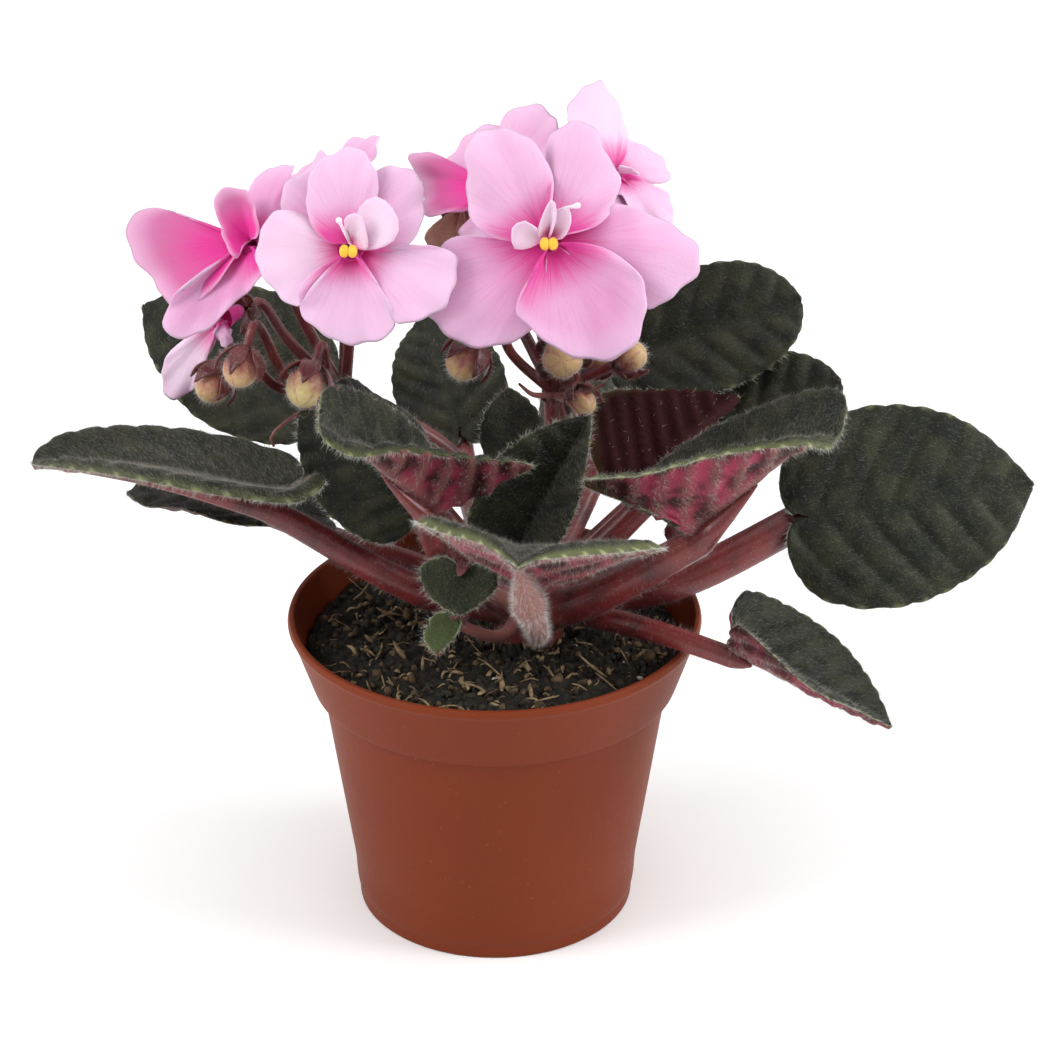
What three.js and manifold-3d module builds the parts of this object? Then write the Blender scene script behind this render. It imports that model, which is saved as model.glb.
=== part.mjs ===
// Potted African violet: a small plastic pot with soil, a rosette of hairy leaves on
// burgundy stalks, and two sprays of pink blooms with their buds.
// Millimetres, +Z up, +Y away from the front, origin at the middle of the pot's underside.
import * as THREE from "three";
import { mergeVertices } from "three/addons/utils/BufferGeometryUtils.js";
import Module from "manifold-3d";

const wasm = await Module();
wasm.setup();

// Driving dimensions
const gap = 0.3;

const pot = {
  height: 46.6,
  rim: 30,
  lip: 1.5,
  wall: 1,
  bandFoot: 36.5,
  bandRadius: 26.9,
  bodyTop: 25.2,
  bodyLow: 20.9,
  heelHeight: 7,
  footRadius: 20.3,
  footHeight: 1.9,
  floor: 1.2,
  panel: 12,
  holes: 6,
  holeRadius: 1.9,
  holeRing: 15,
  facets: 32,
};

const soil = {
  level: 42.4,
  bumps: 0.7,
  rings: 5,
  sectors: 22,
  chips: 14,
};

const crown = {
  centre: new THREE.Vector3(5, 1, 0),
  radius: 5.2,
  foot: 34,
  top: 52,
};

const blade = {
  thickness: 0.9,
  keel: 0.9,
  vein: 0.22,
  tooth: 0.35,
  columns: 3,
};

const colour = {
  pot: 0xb4543a,
  soil: 0x2c2219,
  leaf: 0x26331f,
  stalk: 0x6e2230,
  spray: 0x6b2f2c,
  bloom: 0xe79ccb,
  anther: 0xf2b90f,
  bud: 0xe2bd8c,
  withered: 0xb98a6c,
};

const root = new THREE.Group();

// Small helpers
const vec = (x, y, z) => new THREE.Vector3(x, y, z);
const radians = THREE.MathUtils.degToRad;
const mix = THREE.MathUtils.lerp;
const clamp = THREE.MathUtils.clamp;

// A repeatable draw between 0 and 1
function draws(seed) {
  let state = seed;
  return () => {
    state = (state * 16807) % 2147483647;
    return state / 2147483647;
  };
}

function addNode(name, geometry, shade, roughness = 0.7) {
  const material = new THREE.MeshStandardMaterial({ color: shade, roughness, metalness: 0 });
  const mesh = new THREE.Mesh(geometry, material);
  mesh.name = name;
  root.add(mesh);
}

// Solids to and from geometries
function toSolid(geometry) {
  const bare = geometry.clone();
  bare.deleteAttribute("normal");
  bare.deleteAttribute("uv");
  const merged = mergeVertices(bare, 1e-4);
  return new wasm.Manifold(new wasm.Mesh({
    numProp: 3,
    vertProperties: merged.attributes.position.array,
    triVerts: new Uint32Array(merged.index.array),
  }));
}

function fromSolid(solid) {
  const mesh = solid.getMesh();
  const geometry = new THREE.BufferGeometry();
  geometry.setAttribute("position", new THREE.BufferAttribute(mesh.vertProperties, 3));
  geometry.setIndex(new THREE.BufferAttribute(mesh.triVerts, 1));
  geometry.computeVertexNormals();
  return geometry;
}

// Joins geometries that grow from one another; specks that the join leaves loose are dropped
function fuse(geometries, detail = 0.03) {
  const joined = geometries.map(toSolid).reduce((all, next) => all.add(next)).simplify(detail);
  const largest = joined.decompose().sort((a, b) => b.volume() - a.volume())[0];
  return fromSolid(largest);
}

function meshOf(points, faces) {
  const geometry = new THREE.BufferGeometry().setFromPoints(points);
  geometry.setIndex(faces.flat());
  geometry.computeVertexNormals();
  return geometry;
}

// A grid of points, with points that fall together shared; its faces look along column x row
function sheet(rows, columns, at) {
  const points = [];
  const known = new Map();
  const number = (row, column) => {
    const point = at(row, column);
    const key = point.toArray().map((value) => value.toFixed(3)).join();
    if (!known.has(key)) {
      known.set(key, points.length);
      points.push(point);
    }
    return known.get(key);
  };
  const grid = [];
  for (let row = 0; row <= rows; row += 1) {
    grid.push(Array.from({ length: columns + 1 }, (_, column) => number(row, column)));
  }
  const faces = [];
  for (let row = 0; row < rows; row += 1) {
    for (let column = 0; column < columns; column += 1) {
      const [a, b] = [grid[row][column], grid[row][column + 1]];
      const [c, d] = [grid[row + 1][column + 1], grid[row + 1][column]];
      faces.push([a, b, c], [a, c, d]);
    }
  }
  return { points, faces: faces.filter(([a, b, c]) => a !== b && b !== c && c !== a) };
}

// The closed solid of a sheet, thick on both sides of it; thickness is a number or one for each point
function shell({ points, faces }, thickness) {
  const normals = points.map(() => vec(0, 0, 0));
  for (const face of faces) {
    const [a, b, c] = face.map((index) => points[index]);
    const across = b.clone().sub(a).cross(c.clone().sub(a));
    face.forEach((index) => normals[index].add(across));
  }
  const evenly = [thickness / 2, thickness / 2];
  const shift = (side) => points.map((point, index) => {
    const [over, under] = typeof thickness === "function" ? thickness(point) : evenly;
    return point.clone().addScaledVector(normals[index].clone().normalize(), side > 0 ? over : -under);
  });
  const count = points.length;
  const edges = new Set(faces.flatMap(([a, b, c]) => [`${a},${b}`, `${b},${c}`, `${c},${a}`]));
  const walls = [];
  for (const [a, b, c] of faces) {
    for (const [from, to] of [[a, b], [b, c], [c, a]]) {
      if (!edges.has(`${to},${from}`)) {
        walls.push([to, from, from + count], [to, from + count, to + count]);
      }
    }
  }
  const under = faces.map(([a, b, c]) => [a + count, c + count, b + count]);
  return meshOf([...shift(1), ...shift(-1)], [...faces, ...under, ...walls]);
}

// A round stalk along a curve, its radius set by a function of the way along
function stalk(curve, radiusAt, sides = 6, steps = 5) {
  const frames = curve.computeFrenetFrames(steps, false);
  return (({ points, faces }) => meshOf(points, faces))(sheet(steps + 2, sides, (row, column) => {
    const step = clamp(row - 1, 0, steps);
    const middle = curve.getPointAt(step / steps);
    const end = row === 0 || row === steps + 2;
    const radius = radiusAt(step / steps);
    if (end) {
      return middle.addScaledVector(frames.tangents[step], (row === 0 ? -0.4 : 0.4) * radius);
    }
    const turn = ((column % sides) / sides) * Math.PI * 2;
    return middle
      .addScaledVector(frames.normals[step], Math.cos(turn) * radius)
      .addScaledVector(frames.binormals[step], Math.sin(turn) * radius);
  }));
}

const bend = (...points) => new THREE.CatmullRomCurve3(points, false, "centripetal");

// Three directions at right angles: along, then as near to face as it can be, then across
function frameOf(along, face) {
  const x = along.clone().normalize();
  const z = face.clone().addScaledVector(x, -face.dot(x)).normalize();
  return { x, z, y: z.clone().cross(x) };
}

// Pot
function potProfile() {
  const slope = (pot.rim - pot.bandRadius) / (pot.height - pot.bandFoot);
  const inner = pot.wall;
  const heel = pot.bodyLow - pot.footRadius;
  const outside = [
    [pot.panel, 0],
    [pot.panel + 0.6, pot.footHeight * 0.8],
    [pot.footRadius - 2.2, pot.footHeight * 0.8],
    [pot.footRadius - 1.6, 0],
    [pot.footRadius, 0],
    [pot.footRadius, pot.footHeight],
    [pot.footRadius - 0.9 + 1.2, pot.footHeight + 0.9],
    [pot.bodyLow - heel * 0.3, pot.heelHeight * 0.55],
    [pot.bodyLow, pot.heelHeight],
    [pot.bodyTop, pot.bandFoot - 0.6],
    [pot.bandRadius - 0.4, pot.bandFoot - 0.4],
    [pot.bandRadius, pot.bandFoot + 0.7],
    [pot.rim - slope * pot.lip, pot.height - pot.lip],
    [pot.rim, pot.height - 0.9],
    [pot.rim - 0.3, pot.height],
  ];
  const inside = [
    [pot.rim - inner, pot.height],
    [pot.rim - inner - 0.4, pot.height - pot.lip],
    [pot.bandRadius - inner, pot.bandFoot + 0.4],
    [pot.bodyTop - inner, pot.bandFoot - 1.2],
    [pot.bodyLow - inner, pot.heelHeight],
    [pot.footRadius - inner, pot.footHeight + pot.floor + 0.8],
    [pot.footRadius - inner - 1, pot.footHeight + pot.floor],
  ];
  return { outside, inside };
}

function makePot() {
  const { outside, inside } = potProfile();
  const axis = [[0, pot.footHeight + pot.floor]];
  const outline = [[0, 0], ...outside, ...inside, ...axis].map(([x, z]) => new THREE.Vector2(x, z));
  const body = new THREE.LatheGeometry(outline, pot.facets).rotateX(Math.PI / 2);
  let solid = toSolid(body);
  for (let hole = 0; hole < pot.holes; hole += 1) {
    const turn = ((hole + 0.5) / pot.holes) * Math.PI * 2;
    const drill = new THREE.CylinderGeometry(pot.holeRadius, pot.holeRadius, 8, 10).rotateX(Math.PI / 2);
    drill.translate(Math.cos(turn) * pot.holeRing, Math.sin(turn) * pot.holeRing, 0);
    solid = solid.subtract(toSolid(drill));
  }
  addNode("pot", fromSolid(solid), colour.pot, 0.55);
}

// Soil: a lumpy top over a plain body that follows the pot's inside
function soilTop(x, y) {
  const far = Math.hypot(x, y);
  const lumps = Math.sin(x * 0.9 + 1.3) * Math.cos(y * 0.8 - 0.4) + 0.6 * Math.sin(x * 2.1 - y * 1.7);
  const fine = 0.5 * Math.cos(x * 3.7 + y * 2.9);
  const edge = clamp((far - 22) / 6, 0, 1);
  return soil.level + soil.bumps * (lumps + fine) * 0.6 - 1.1 * edge * edge;
}

function makeSoil() {
  const { inside } = potProfile();
  const wallAt = inside.map(([r, z]) => [r - gap, z]).filter(([, z]) => z < soil.level - 2).reverse();
  const slope = (pot.rim - pot.bandRadius) / (pot.height - pot.bandFoot);
  const topRadius = pot.bandRadius - pot.wall - gap + slope * (soil.level - 1.2 - pot.bandFoot);
  const bottom = pot.footHeight + pot.floor + gap;
  const lower = [[wallAt[0][0] - 0.2, bottom], ...wallAt.slice(1)];
  const body = sheet(soil.rings + lower.length + 1, soil.sectors, (row, column) => {
    const turn = ((column % soil.sectors) / soil.sectors) * Math.PI * 2;
    const at = (radius, height) => vec(Math.cos(turn) * radius, Math.sin(turn) * radius, height);
    if (row === 0) {
      return vec(0, 0, bottom);
    }
    if (row <= lower.length) {
      return at(...lower[row - 1]);
    }
    const radius = topRadius * ((soil.rings + lower.length + 1 - row) / soil.rings);
    const place = at(radius, 0);
    place.z = soilTop(place.x, place.y);
    return place;
  });
  let solid = toSolid(meshOf(body.points, body.faces));
  const draw = draws(71);
  for (let chip = 0; chip < soil.chips; chip += 1) {
    const turn = draw() * Math.PI * 2;
    const far = mix(12, 23, draw());
    const piece = new THREE.BoxGeometry(mix(2, 5, draw()), mix(0.6, 1.4, draw()), 1);
    piece.rotateY(mix(-0.2, 0.2, draw())).rotateZ(draw() * Math.PI);
    const [x, y] = [Math.cos(turn) * far, Math.sin(turn) * far];
    solid = solid.add(toSolid(piece.translate(x, y, soilTop(x, y) - 0.15)));
  }
  const well = new THREE.CylinderGeometry(crown.radius + gap + 0.5, crown.radius + gap + 0.5, 40, 12);
  well.rotateX(Math.PI / 2).translate(crown.centre.x, crown.centre.y, crown.foot - 2.5 + 20);
  addNode("soil", fuse([fromSolid(solid.subtract(toSolid(well)))]), colour.soil, 0.95);
}

// Half the outline of a blade one unit long, from its stalk round the rear lobe to the tip
const widest = new THREE.Vector2(0.33, 0.44);
const rearLobe = new THREE.CubicBezierCurve(
  new THREE.Vector2(-0.02, 0), new THREE.Vector2(-0.26, 0), new THREE.Vector2(-0.18, 0.44), widest);
const foreLobe = (blunt) => new THREE.CubicBezierCurve(
  widest, new THREE.Vector2(0.62 + 0.1 * blunt, 0.44),
  new THREE.Vector2(0.86 + 0.12 * blunt, 0.2 + 0.1 * blunt), new THREE.Vector2(1, 0));
const footAt = (s) => clamp((s - 0.25) / 0.75, 0, 1) ** 1.4;

// A blade's surface at s along the margin and v out from the midrib, side +1 left or -1 right
function bladeSurface(leaf) {
  const along = leaf.tip.clone().sub(leaf.base);
  const length = along.length();
  const { x, y, z } = frameOf(along, leaf.face);
  const curl = radians(leaf.curl) || 1e-4;
  const arc = 0.5 / Math.sin(curl / 2);
  const fore = foreLobe(leaf.blunt);
  return (s, v, side) => {
    const rim = s < 0.5 ? rearLobe.getPoint(s * 2) : fore.getPoint(s * 2 - 1);
    const half = side > 0 ? 0 : 1;
    const tooth = Math.sin(s * Math.PI * 2 * leaf.teeth) * (blade.tooth / length) * v ** 4;
    const spread = rim.y * leaf.wide * v + tooth;
    const u = mix(footAt(s), rim.x < 0 ? rim.x * leaf.lobe : rim.x, v) - leaf.sweep[half] * spread;
    const open = mix(1, leaf.open[half], clamp((u + 0.15) / 0.55, 0, 1));
    const angle = radians(leaf.fold[half] * open);
    const lift = spread * Math.sin(angle) + leaf.wave * v ** 3 * Math.sin(s * 19 + side);
    const turn = curl * (u - 0.5);
    const height = arc * (Math.cos(turn) - Math.cos(curl / 2)) + lift * Math.cos(turn);
    const forward = 0.5 + arc * Math.sin(turn) + lift * Math.sin(turn);
    return leaf.base.clone()
      .addScaledVector(x, forward * length)
      .addScaledVector(y, side * spread * Math.cos(angle) * length)
      .addScaledVector(z, height * length);
  };
}

// Leaves. base and tip are the ends of the blade's midrib and face is the way its upper side looks.
// fold lifts its left and right halves in degrees, and open is the share of that left at the tip.
// sweep draws a half backwards, curl bends the midrib and lobe is the size of its rear lobes.
// A leaf that folds in its own way has a ridge, the middle of its midrib, and for its left and right
// halves the points that its rim passes on the way from the stalk to the tip.
// root and via are points of its stalk, stout its radius and slim the share of that left at the blade.
const leafDefaults = {
  face: [0, 0, 1],
  fold: [12, 12],
  open: [0.8, 0.8],
  sweep: [0, 0],
  curl: 14,
  wide: 1,
  blunt: 0.2,
  lobe: 1,
  wave: 0.02,
  stout: 2.2,
  slim: 0.8,
  teeth: 7,
  rows: 9,
};
const small = { teeth: 4, rows: 6, slim: 0.7 };
const far = { rows: 7 };
const leafTable = [
  { name: "left_long", base: [-30.5, -2, 66], ridge: [-46.5, -2, 70], tip: [-65.5, 0, 70],
    left: [[-27.5, -8, 71], [-23, -14, 74], [-26.5, -18, 73], [-37, -19, 74.5], [-51.5, -13, 74.5],
      [-61.5, -5, 72]],
    right: [[-27.5, 3, 66.5], [-28.5, 8, 66.5], [-37, 13, 67], [-48, 13, 69], [-58.5, 8, 71], [-64.5, 3, 71]],
    via: [-7.8, -4, 50.6], stout: 2.4, slim: 0.75 },
  { name: "left_low", base: [-27, 10, 57], tip: [-53.5, 10, 60.5], fold: [16, 10], blunt: 0.5 },
  { name: "left_dark", base: [-12.4, -4, 65.5], tip: [-26.8, -7, 81.4], face: [-0.2, -0.8, 0.5],
    wide: 0.85 },
  { name: "left_raised", base: [-9, 3, 66.8], tip: [-23, 0, 82.4], face: [0, 0.2, 1], fold: [20, 32] },
  { name: "left_folded", base: [-7.5, -17, 71.5], ridge: [-15.5, -21, 81.5], tip: [-23, -25, 90],
    left: [[-2, -16, 74], [5.5, -15, 77], [-3, -18, 79.5], [-12.5, -23, 83], [-18.5, -27.5, 84.5],
      [-22.5, -28, 87.5]],
    right: [[-5.5, -13, 72.5], [-7.5, -10, 75], [-9.5, -11, 79], [-14, -15, 85.5], [-19, -19, 90],
      [-22.5, -23, 91.5]],
    via: [-6, -9.5, 57.5], stout: 1.9 },
  { name: "front_notched", base: [5, -20, 61], ridge: [3.5, -34, 74], tip: [3.5, -50, 79.5],
    left: [[10, -16, 60.5], [17.5, -17, 63.5], [23, -27, 70.5], [17, -37, 75], [10, -44, 78],
      [5.5, -48, 79.5]],
    right: [[1.5, -17, 62.5], [-6, -19, 67.5], [-10, -30, 76], [-6.5, -38, 78.5], [-1.5, -44, 80],
      [2, -48, 80]],
    root: 45.5, via: [6.3, -12, 49], stout: 1.9, slim: 0.9 },
  { name: "right_folded", base: [27, -14, 67], ridge: [37.5, -14, 77], tip: [48.5, -12, 84],
    left: [[22, -7, 68], [22.5, -3, 70.5], [29, -2, 75.5], [36, -4, 80], [43.5, -7, 84], [48, -10, 85.5]],
    right: [[21.5, -17, 71], [12, -18, 76], [20, -20, 78], [30.5, -21, 81.5], [41.5, -19, 82],
      [46.5, -15, 80]],
    via: [11.5, -6, 50.6], stout: 2.8, slim: 0.75 },
  { name: "right_burgundy", base: [21, 1, 65.5], ridge: [26.5, 6, 70], tip: [35.5, 15, 73.5],
    left: [[19, 8, 63.5], [21, 15, 65], [27, 20, 67.5], [33, 20, 70.5]],
    right: [[16.5, -1, 67], [13.5, 0, 72.5], [15, 7, 77.5], [22.5, 11, 76.5], [30, 15, 74]] },
  { name: "right_top", base: [20.4, 30, 73.6], tip: [45.4, 32, 81.4], face: [-0.2, -0.8, 0.5], blunt: 1,
    wide: 0.85, via: [15, 24, 57], ...far },
  { name: "right_behind", base: [30, 25, 61.8], tip: [51.2, 25, 71.3], face: [-0.2, -0.7, 0.7], blunt: 1,
    wide: 0.85, via: [20, 21, 52], ...far },
  { name: "right_wide", base: [45.1, 4, 59.7], tip: [77.9, 8, 62.7], face: [0, -0.89, 0.45], fold: [3, 3],
    lobe: 0.7, via: [25.3, 0, 51], stout: 2.7, slim: 0.95, blunt: 0.3 },
  { name: "right_low", base: [34, -16.5, 50], ridge: [43, -20, 46.5], tip: [55.5, -24, 41],
    left: [[33.5, -13, 53.5], [35.5, -10, 55], [42, -9, 52], [49, -12, 48], [53.5, -18, 44]],
    right: [[33.5, -19, 53.5], [34, -22, 56], [38.5, -26, 53.5], [43.5, -28, 49.5], [50, -27, 45.5]],
    root: 47.8, via: [23.4, -12, 49.4], stout: 1.8 },
  { name: "front_heart", base: [-4, -16.5, 61.5], ridge: [-4, -19, 59.5], tip: [-4.5, -21, 57],
    face: [0, -0.85, 0.5],
    left: [[-2.5, -16, 62.5], [0, -17, 62], [0.6, -18.5, 60.4], [-1.5, -20, 58.5]],
    right: [[-6.5, -16, 63.5], [-10, -17, 62.5], [-9.5, -19, 60], [-7, -20.5, 58]], stout: 1.3, ...small },
  { name: "front_small", base: [-5, -19.5, 56], ridge: [-6.5, -22, 54.5], tip: [-8, -24, 52.5],
    face: [-0.2, -0.8, 0.5], left: [[-4.5, -20.5, 55.5], [-5.5, -22, 54], [-7, -23.5, 53]],
    right: [[-5.5, -20, 57], [-8, -20.5, 57], [-9, -21.5, 56], [-9.5, -23, 54.5]], via: [1, -10, 47.8],
    stout: 1, ...small },
  { name: "middle_pointed", base: [3.6, -6, 59.7], tip: [13.4, -5, 80], face: [-0.2, -0.9, 0.4],
    fold: [40, 65], via: [4.6, -0.5, 53], stout: 1.4 },
  { name: "middle_curled", base: [26.5, 5, 56.5], tip: [32.6, 3, 61.5], face: [0, 0.3, 1],
    fold: [30, 30], stout: 1.1, ...small },
  { name: "back_inner", base: [3, 18, 61.5], tip: [2, 23, 71.5], face: [0, -0.8, 0.4], via: [2, 18.5, 52.5],
    stout: 1.4, ...small },
  { name: "back_middle", base: [-5.5, 34, 59.7], tip: [-10.2, 48, 73.1], face: [0, -0.7, 0.7],
    via: [-3, 24, 49.8], ...far },
  { name: "back_left", base: [-29, 26, 68.1], tip: [-52.5, 34, 80], face: [0.1, -0.6, 0.7],
    via: [-15, 18, 56], ...far },
  { name: "back_right", base: [16, 36, 56], tip: [26, 62, 58.5], face: [0, -0.1, 1],
    via: [11, 24, 50.5], ...far },
];

// The surface of a leaf with rims: straight ribs from its midrib out to them
function rimmedSurface(leaf) {
  const through = (points) => bend(leaf.base, ...points.map((point) => vec(...point)), leaf.tip);
  const midrib = through([leaf.ridge]);
  const rims = [through(leaf.left), through(leaf.right)];
  return (s, v, side) => {
    const rim = rims[side > 0 ? 0 : 1].getPointAt(s);
    return midrib.getPointAt(footAt(s)).lerp(rim, v);
  };
}

function makeLeaf(entry) {
  const leaf = { ...leafDefaults, ...entry };
  for (const key of ["base", "tip", "face"]) {
    leaf[key] = vec(...leaf[key]);
  }
  const surface = leaf.ridge ? rimmedSurface(leaf) : bladeSurface(leaf);
  const columns = blade.columns;
  const start = leaf.ridge ? 0.09 : 0.06;
  const grid = sheet(leaf.rows, columns * 2, (row, column) => {
    const s = mix(start, 1, row / leaf.rows);
    const v = row === leaf.rows ? 0 : Math.abs(column - columns) / columns;
    const point = surface(s, v, column <= columns ? 1 : -1);
    const ribbed = v > 0 && v < 1 && s > 0.25 && s < 0.95;
    point.rib = ribbed ? blade.vein * (row % 2 ? -1 : 1) : 0;
    point.keel = v === 0 && s > 0.4 && s < 0.95 ? blade.keel : 0;
    return point;
  });
  const half = blade.thickness / 2;
  const solid = shell(grid, ({ rib, keel }) => [half - rib, half + rib + keel]);
  addNode(`leaf_${entry.name}`, solid, colour.leaf, 0.8);
  return leaf;
}

// Crown and leaf stalks, grown together
function makeStalk(leaf) {
  const { x, z } = frameOf(leaf.tip.clone().sub(leaf.base), leaf.face);
  const thin = leaf.stout * leaf.slim;
  const below = blade.thickness / 2 + gap + thin;
  const end = leaf.base.clone().addScaledVector(x, 0.5).addScaledVector(z, -below);
  const out = end.clone().sub(crown.centre).setZ(0).normalize();
  const start = crown.centre.clone().addScaledVector(out, 2.4).setZ(leaf.root ?? 47.5);
  const via = leaf.via ? vec(...leaf.via) : start.clone().lerp(end, 0.5);
  return stalk(bend(start, via, end), (t) => mix(leaf.stout, thin, t), 6, 3);
}

function makeCrown(leaves) {
  const stem = bend(crown.centre.clone().setZ(crown.foot), crown.centre.clone().setZ(crown.top));
  const core = stalk(stem, (t) => crown.radius * mix(0.8, 1, Math.sin(t * Math.PI)), 10, 3);
  addNode("crown_and_stalks", fuse([core, ...leaves.map(makeStalk)]), colour.stalk, 0.8);
}

// Blooms. centre is the throat and face the way the bloom looks. A petal is given by the points that
// its margin passes on the way from the throat round and back: right, up and forward of the throat.
// A petal that others hide is plain, with its turn clockwise from the top in degrees, its length,
// its width and how far forward its end is.
const petalShape = [[0.4, -0.7], [0.75, -1], [0.97, -0.6], [1, 0], [0.97, 0.6], [0.75, 1], [0.4, 0.7]];
function plain(turn, length, width, forward) {
  const [right, up] = [Math.sin(radians(turn)), Math.cos(radians(turn))];
  const margin = petalShape.map(([far, aside]) => {
    const [out, across] = [far * length, (aside * width) / 2];
    return [right * out + up * across, up * out - right * across, far * forward];
  });
  return Object.assign(margin, { plain: true });
}

const blooms = [
  { name: "right_front", centre: [7.6, -8, 107.5], face: [0, -0.88, 0.48], spray: "right",
    petals: [
      [[-6.5, 0, -0.5], [-10, 2, 0], [-11, 8, 1], [-11.5, 12.5, 1.5], [-8, 15, 1], [-3, 13.5, 1.5],
        [0.5, 9, 1], [0.4, 5.5, 1.5]],
      [[-0.3, 8, -1], [0, 14, -1], [2, 16, 0], [6, 15.5, 0], [8, 11, -1], [9.5, 7.5, 0], [7.5, 2.5, 0]],
      [[4.5, 2.6, -1.5], [9, 5, -1.5], [15.5, 2.5, -1], [20.5, -1, 0], [20, -5, 0], [13.5, -9, -2],
        [7, -4.8, -2]],
      [[2.5, -0.4, 1], [8, -1.5, 2], [13, -6.5, 1.5], [13, -12, 0], [8.5, -16, -1], [0, -14, -0.5],
        [-4.5, -10, 1], [-2.4, -5, 1]],
      [[-0.4, -4.5, -1], [-1, -10.5, -2], [-6.5, -14, -2], [-13.5, -13, -3], [-17, -10, -4],
        [-16, -3.5, -3.5], [-13, 0.5, -2.5], [-8, 0.5, -1]],
    ],
    crest: [
      [[-4.5, -1.5, 2], [-5, 1, 4], [-3.5, 2, 5], [-2, 1.3, 4]],
      [[-1.5, 0, 2.5], [-1.2, 2, 4], [0.5, 5, 6], [1, 3, 5], [0.2, 0.3, 3]],
      [[0.3, 1.5, 2], [0.8, 3.5, 4], [2.5, 3.8, 5], [3, 2, 4], [2, 0, 2.5]],
    ] },
  { name: "left_front", centre: [-19.2, -6, 105.6], face: [-0.05, -0.87, 0.48], spray: "left",
    petals: [
      [[-4, 1, 1], [-6, 4.5, 1], [-5.5, 9.5, 1.5], [-3, 12.5, 1.5], [0, 14, 1], [3, 11, 1],
        [3.5, 7, 1], [2, 3, 1]],
      [[1.8, 6, -1], [3.5, 11, -1], [6.5, 11.5, -0.5], [9, 9.5, 0], [9.5, 4, 0], [7.5, -0.5, 0],
        [4, -0.5, 0]],
      [[-2.6, -3.2, 1], [-5.3, -6.5, 2], [-7, -8.5, 1], [-11, -5.5, 1], [-12.5, -1, 1], [-11.5, 3.5, 1],
        [-8.5, 5, 0], [-4.6, 2.8, 0]],
      [[3, -3.6, 1], [4.6, -6, 1], [6.5, -9, 1], [5.5, -12.5, 0], [2.5, -13, 0], [-3, -12, 0], [-6.5, -9, 1],
        [-6.5, -5.5, 2.5], [-3.3, -2.7, 1.5]],
      [[4, 0.2, 0], [9.5, 0.3, 1], [14, -0.5, 2], [15, -3, 2], [13, -7.5, 2], [7, -10.5, 1], [4, -5.2, -0.6]],
      [[-5, 2.3, -2.5], [-9.5, 4.5, -2.5], [-9.5, 7.5, -2], [-7, 11, -2], [-4.5, 13.5, -2], [-3.2, 10, -2.5]],
    ],
    crest: [
      [[0.5, 2, 1.5], [1.5, 5.5, 3], [4, 6.5, 4], [6.5, 4, 4.5], [6.5, 1, 4], [3.5, -0.5, 2]],
      [[-0.2, 1, 2], [-0.5, 3.5, 4.5], [1.5, 4, 5], [2.5, 1.5, 4], [2.5, -0.5, 2.5]],
    ] },
  { name: "left_side", centre: [-33.7, 3, 103], face: [-0.37, -0.6, 0.7], spray: "left", crest: [],
    petals: [
      [[-0.5, -6, 1], [-4, -11.5, 1], [-8.5, -11.5, 1], [-13, -9, 1], [-16.5, -6, 1.5], [-18.5, -1.5, 2],
        [-17, 1, 1], [-10.5, 0.7, 1], [-6, 0.6, 0]],
      [[5, -4, 0], [2.5, -8.5, 0], [-1.5, -14.5, 0], [-5, -16.5, 1], [-6.5, -14, 1.5], [-5.3, -11.5, 4],
        [-3.5, -8, 2.5], [-1.6, -3.5, 1]],
      [[0, -3.5, 1], [-3.5, -0.5, 2], [-5.5, 2.5, 3], [-5, 4.5, 3.5], [-2.5, 6, 3], [0, 4.5, 2.5],
        [2.5, 0, 1.5]],
      [[-2.4, 3.5, -2], [-5, 7.5, -2], [-3.5, 10.5, -1.5], [-0.5, 12.5, -1], [1.5, 12.5, -1], [1.5, 9.5, -2],
        [0.8, 4.5, -2]],
      plain(98, 8, 8, -3),
    ] },
  { name: "left_back", centre: [-22.7, 9, 107.1], face: [-0.3, -0.3, 0.9], spray: "left", crest: [],
    petals: [
      plain(-5, 11, 6, 2), plain(72, 10, 8, 1), plain(144, 8, 8, -1), plain(216, 7, 7, 0),
      plain(288, 8, 8, 1),
    ] },
  { name: "left_spent", centre: [-38.1, 5, 90.4], face: [-0.5, -0.8, 0.1], spray: "left", crest: [],
    petals: [
      [[-1.5, -5, 0], [-3.5, -10.5, 1], [-7, -13.5, 1], [-9.5, -13.5, 1], [-9.5, -11, 1], [-8, -6.5, 1],
        [-5.5, -3.5, 0], [-3, -1, 0]],
      plain(172, 4, 3, 0),
    ] },
  { name: "right_back", centre: [0.9, 13, 106.5], face: [-0.4, -0.3, 0.85], spray: "right", crest: [],
    petals: [
      [[-2.5, -8, 1], [-5.5, -9.5, 2], [-11, -5.5, 2.5], [-14.5, -4, 4], [-12.5, -1.5, 3], [-7.5, -0.5, 2],
        [-4, 0, 1]],
      [[-6.5, 0.1, 0], [-14, 0.5, 0], [-12, 4.5, 1], [-9, 9.5, 1], [-4, 6.5, 0]],
      [[-5, 4, 0], [-9.5, 9, 1], [-7.5, 11.5, 2], [-4.5, 13.5, 2], [-0.5, 13, 1], [3.5, 7.5, 0]],
      plain(62, 11, 8, -1), plain(145, 10, 9, 0),
    ] },
  { name: "right_high", centre: [17.4, 12, 109.5], face: [0.51, -0.3, 0.81], spray: "right",
    petals: [
      [[-0.3, 2.2, 0], [-1.5, 10, 1], [2.5, 12, 2], [6.5, 12, 2.5], [10, 9.5, 2.5], [8, 6, 2], [5.5, 2.5, 1]],
      [[2, -3.5, 1], [3, -6.5, 1], [-0.5, -10.5, 1], [-2.5, -8, 0], [-5, -4, 0]],
      plain(95, 10, 9, 0), plain(-60, 6, 6, -1), plain(230, 8, 8, -1),
    ],
    crest: [[[-1, -2.5, 3], [-2.5, -3, 4], [-3.2, -1.8, 4], [-2.6, -0.2, 3]]] },
  { name: "right_withered", centre: [-4.5, 17, 102.8], face: [0.1, -0.9, 0.3], spray: "right", crest: [],
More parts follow.
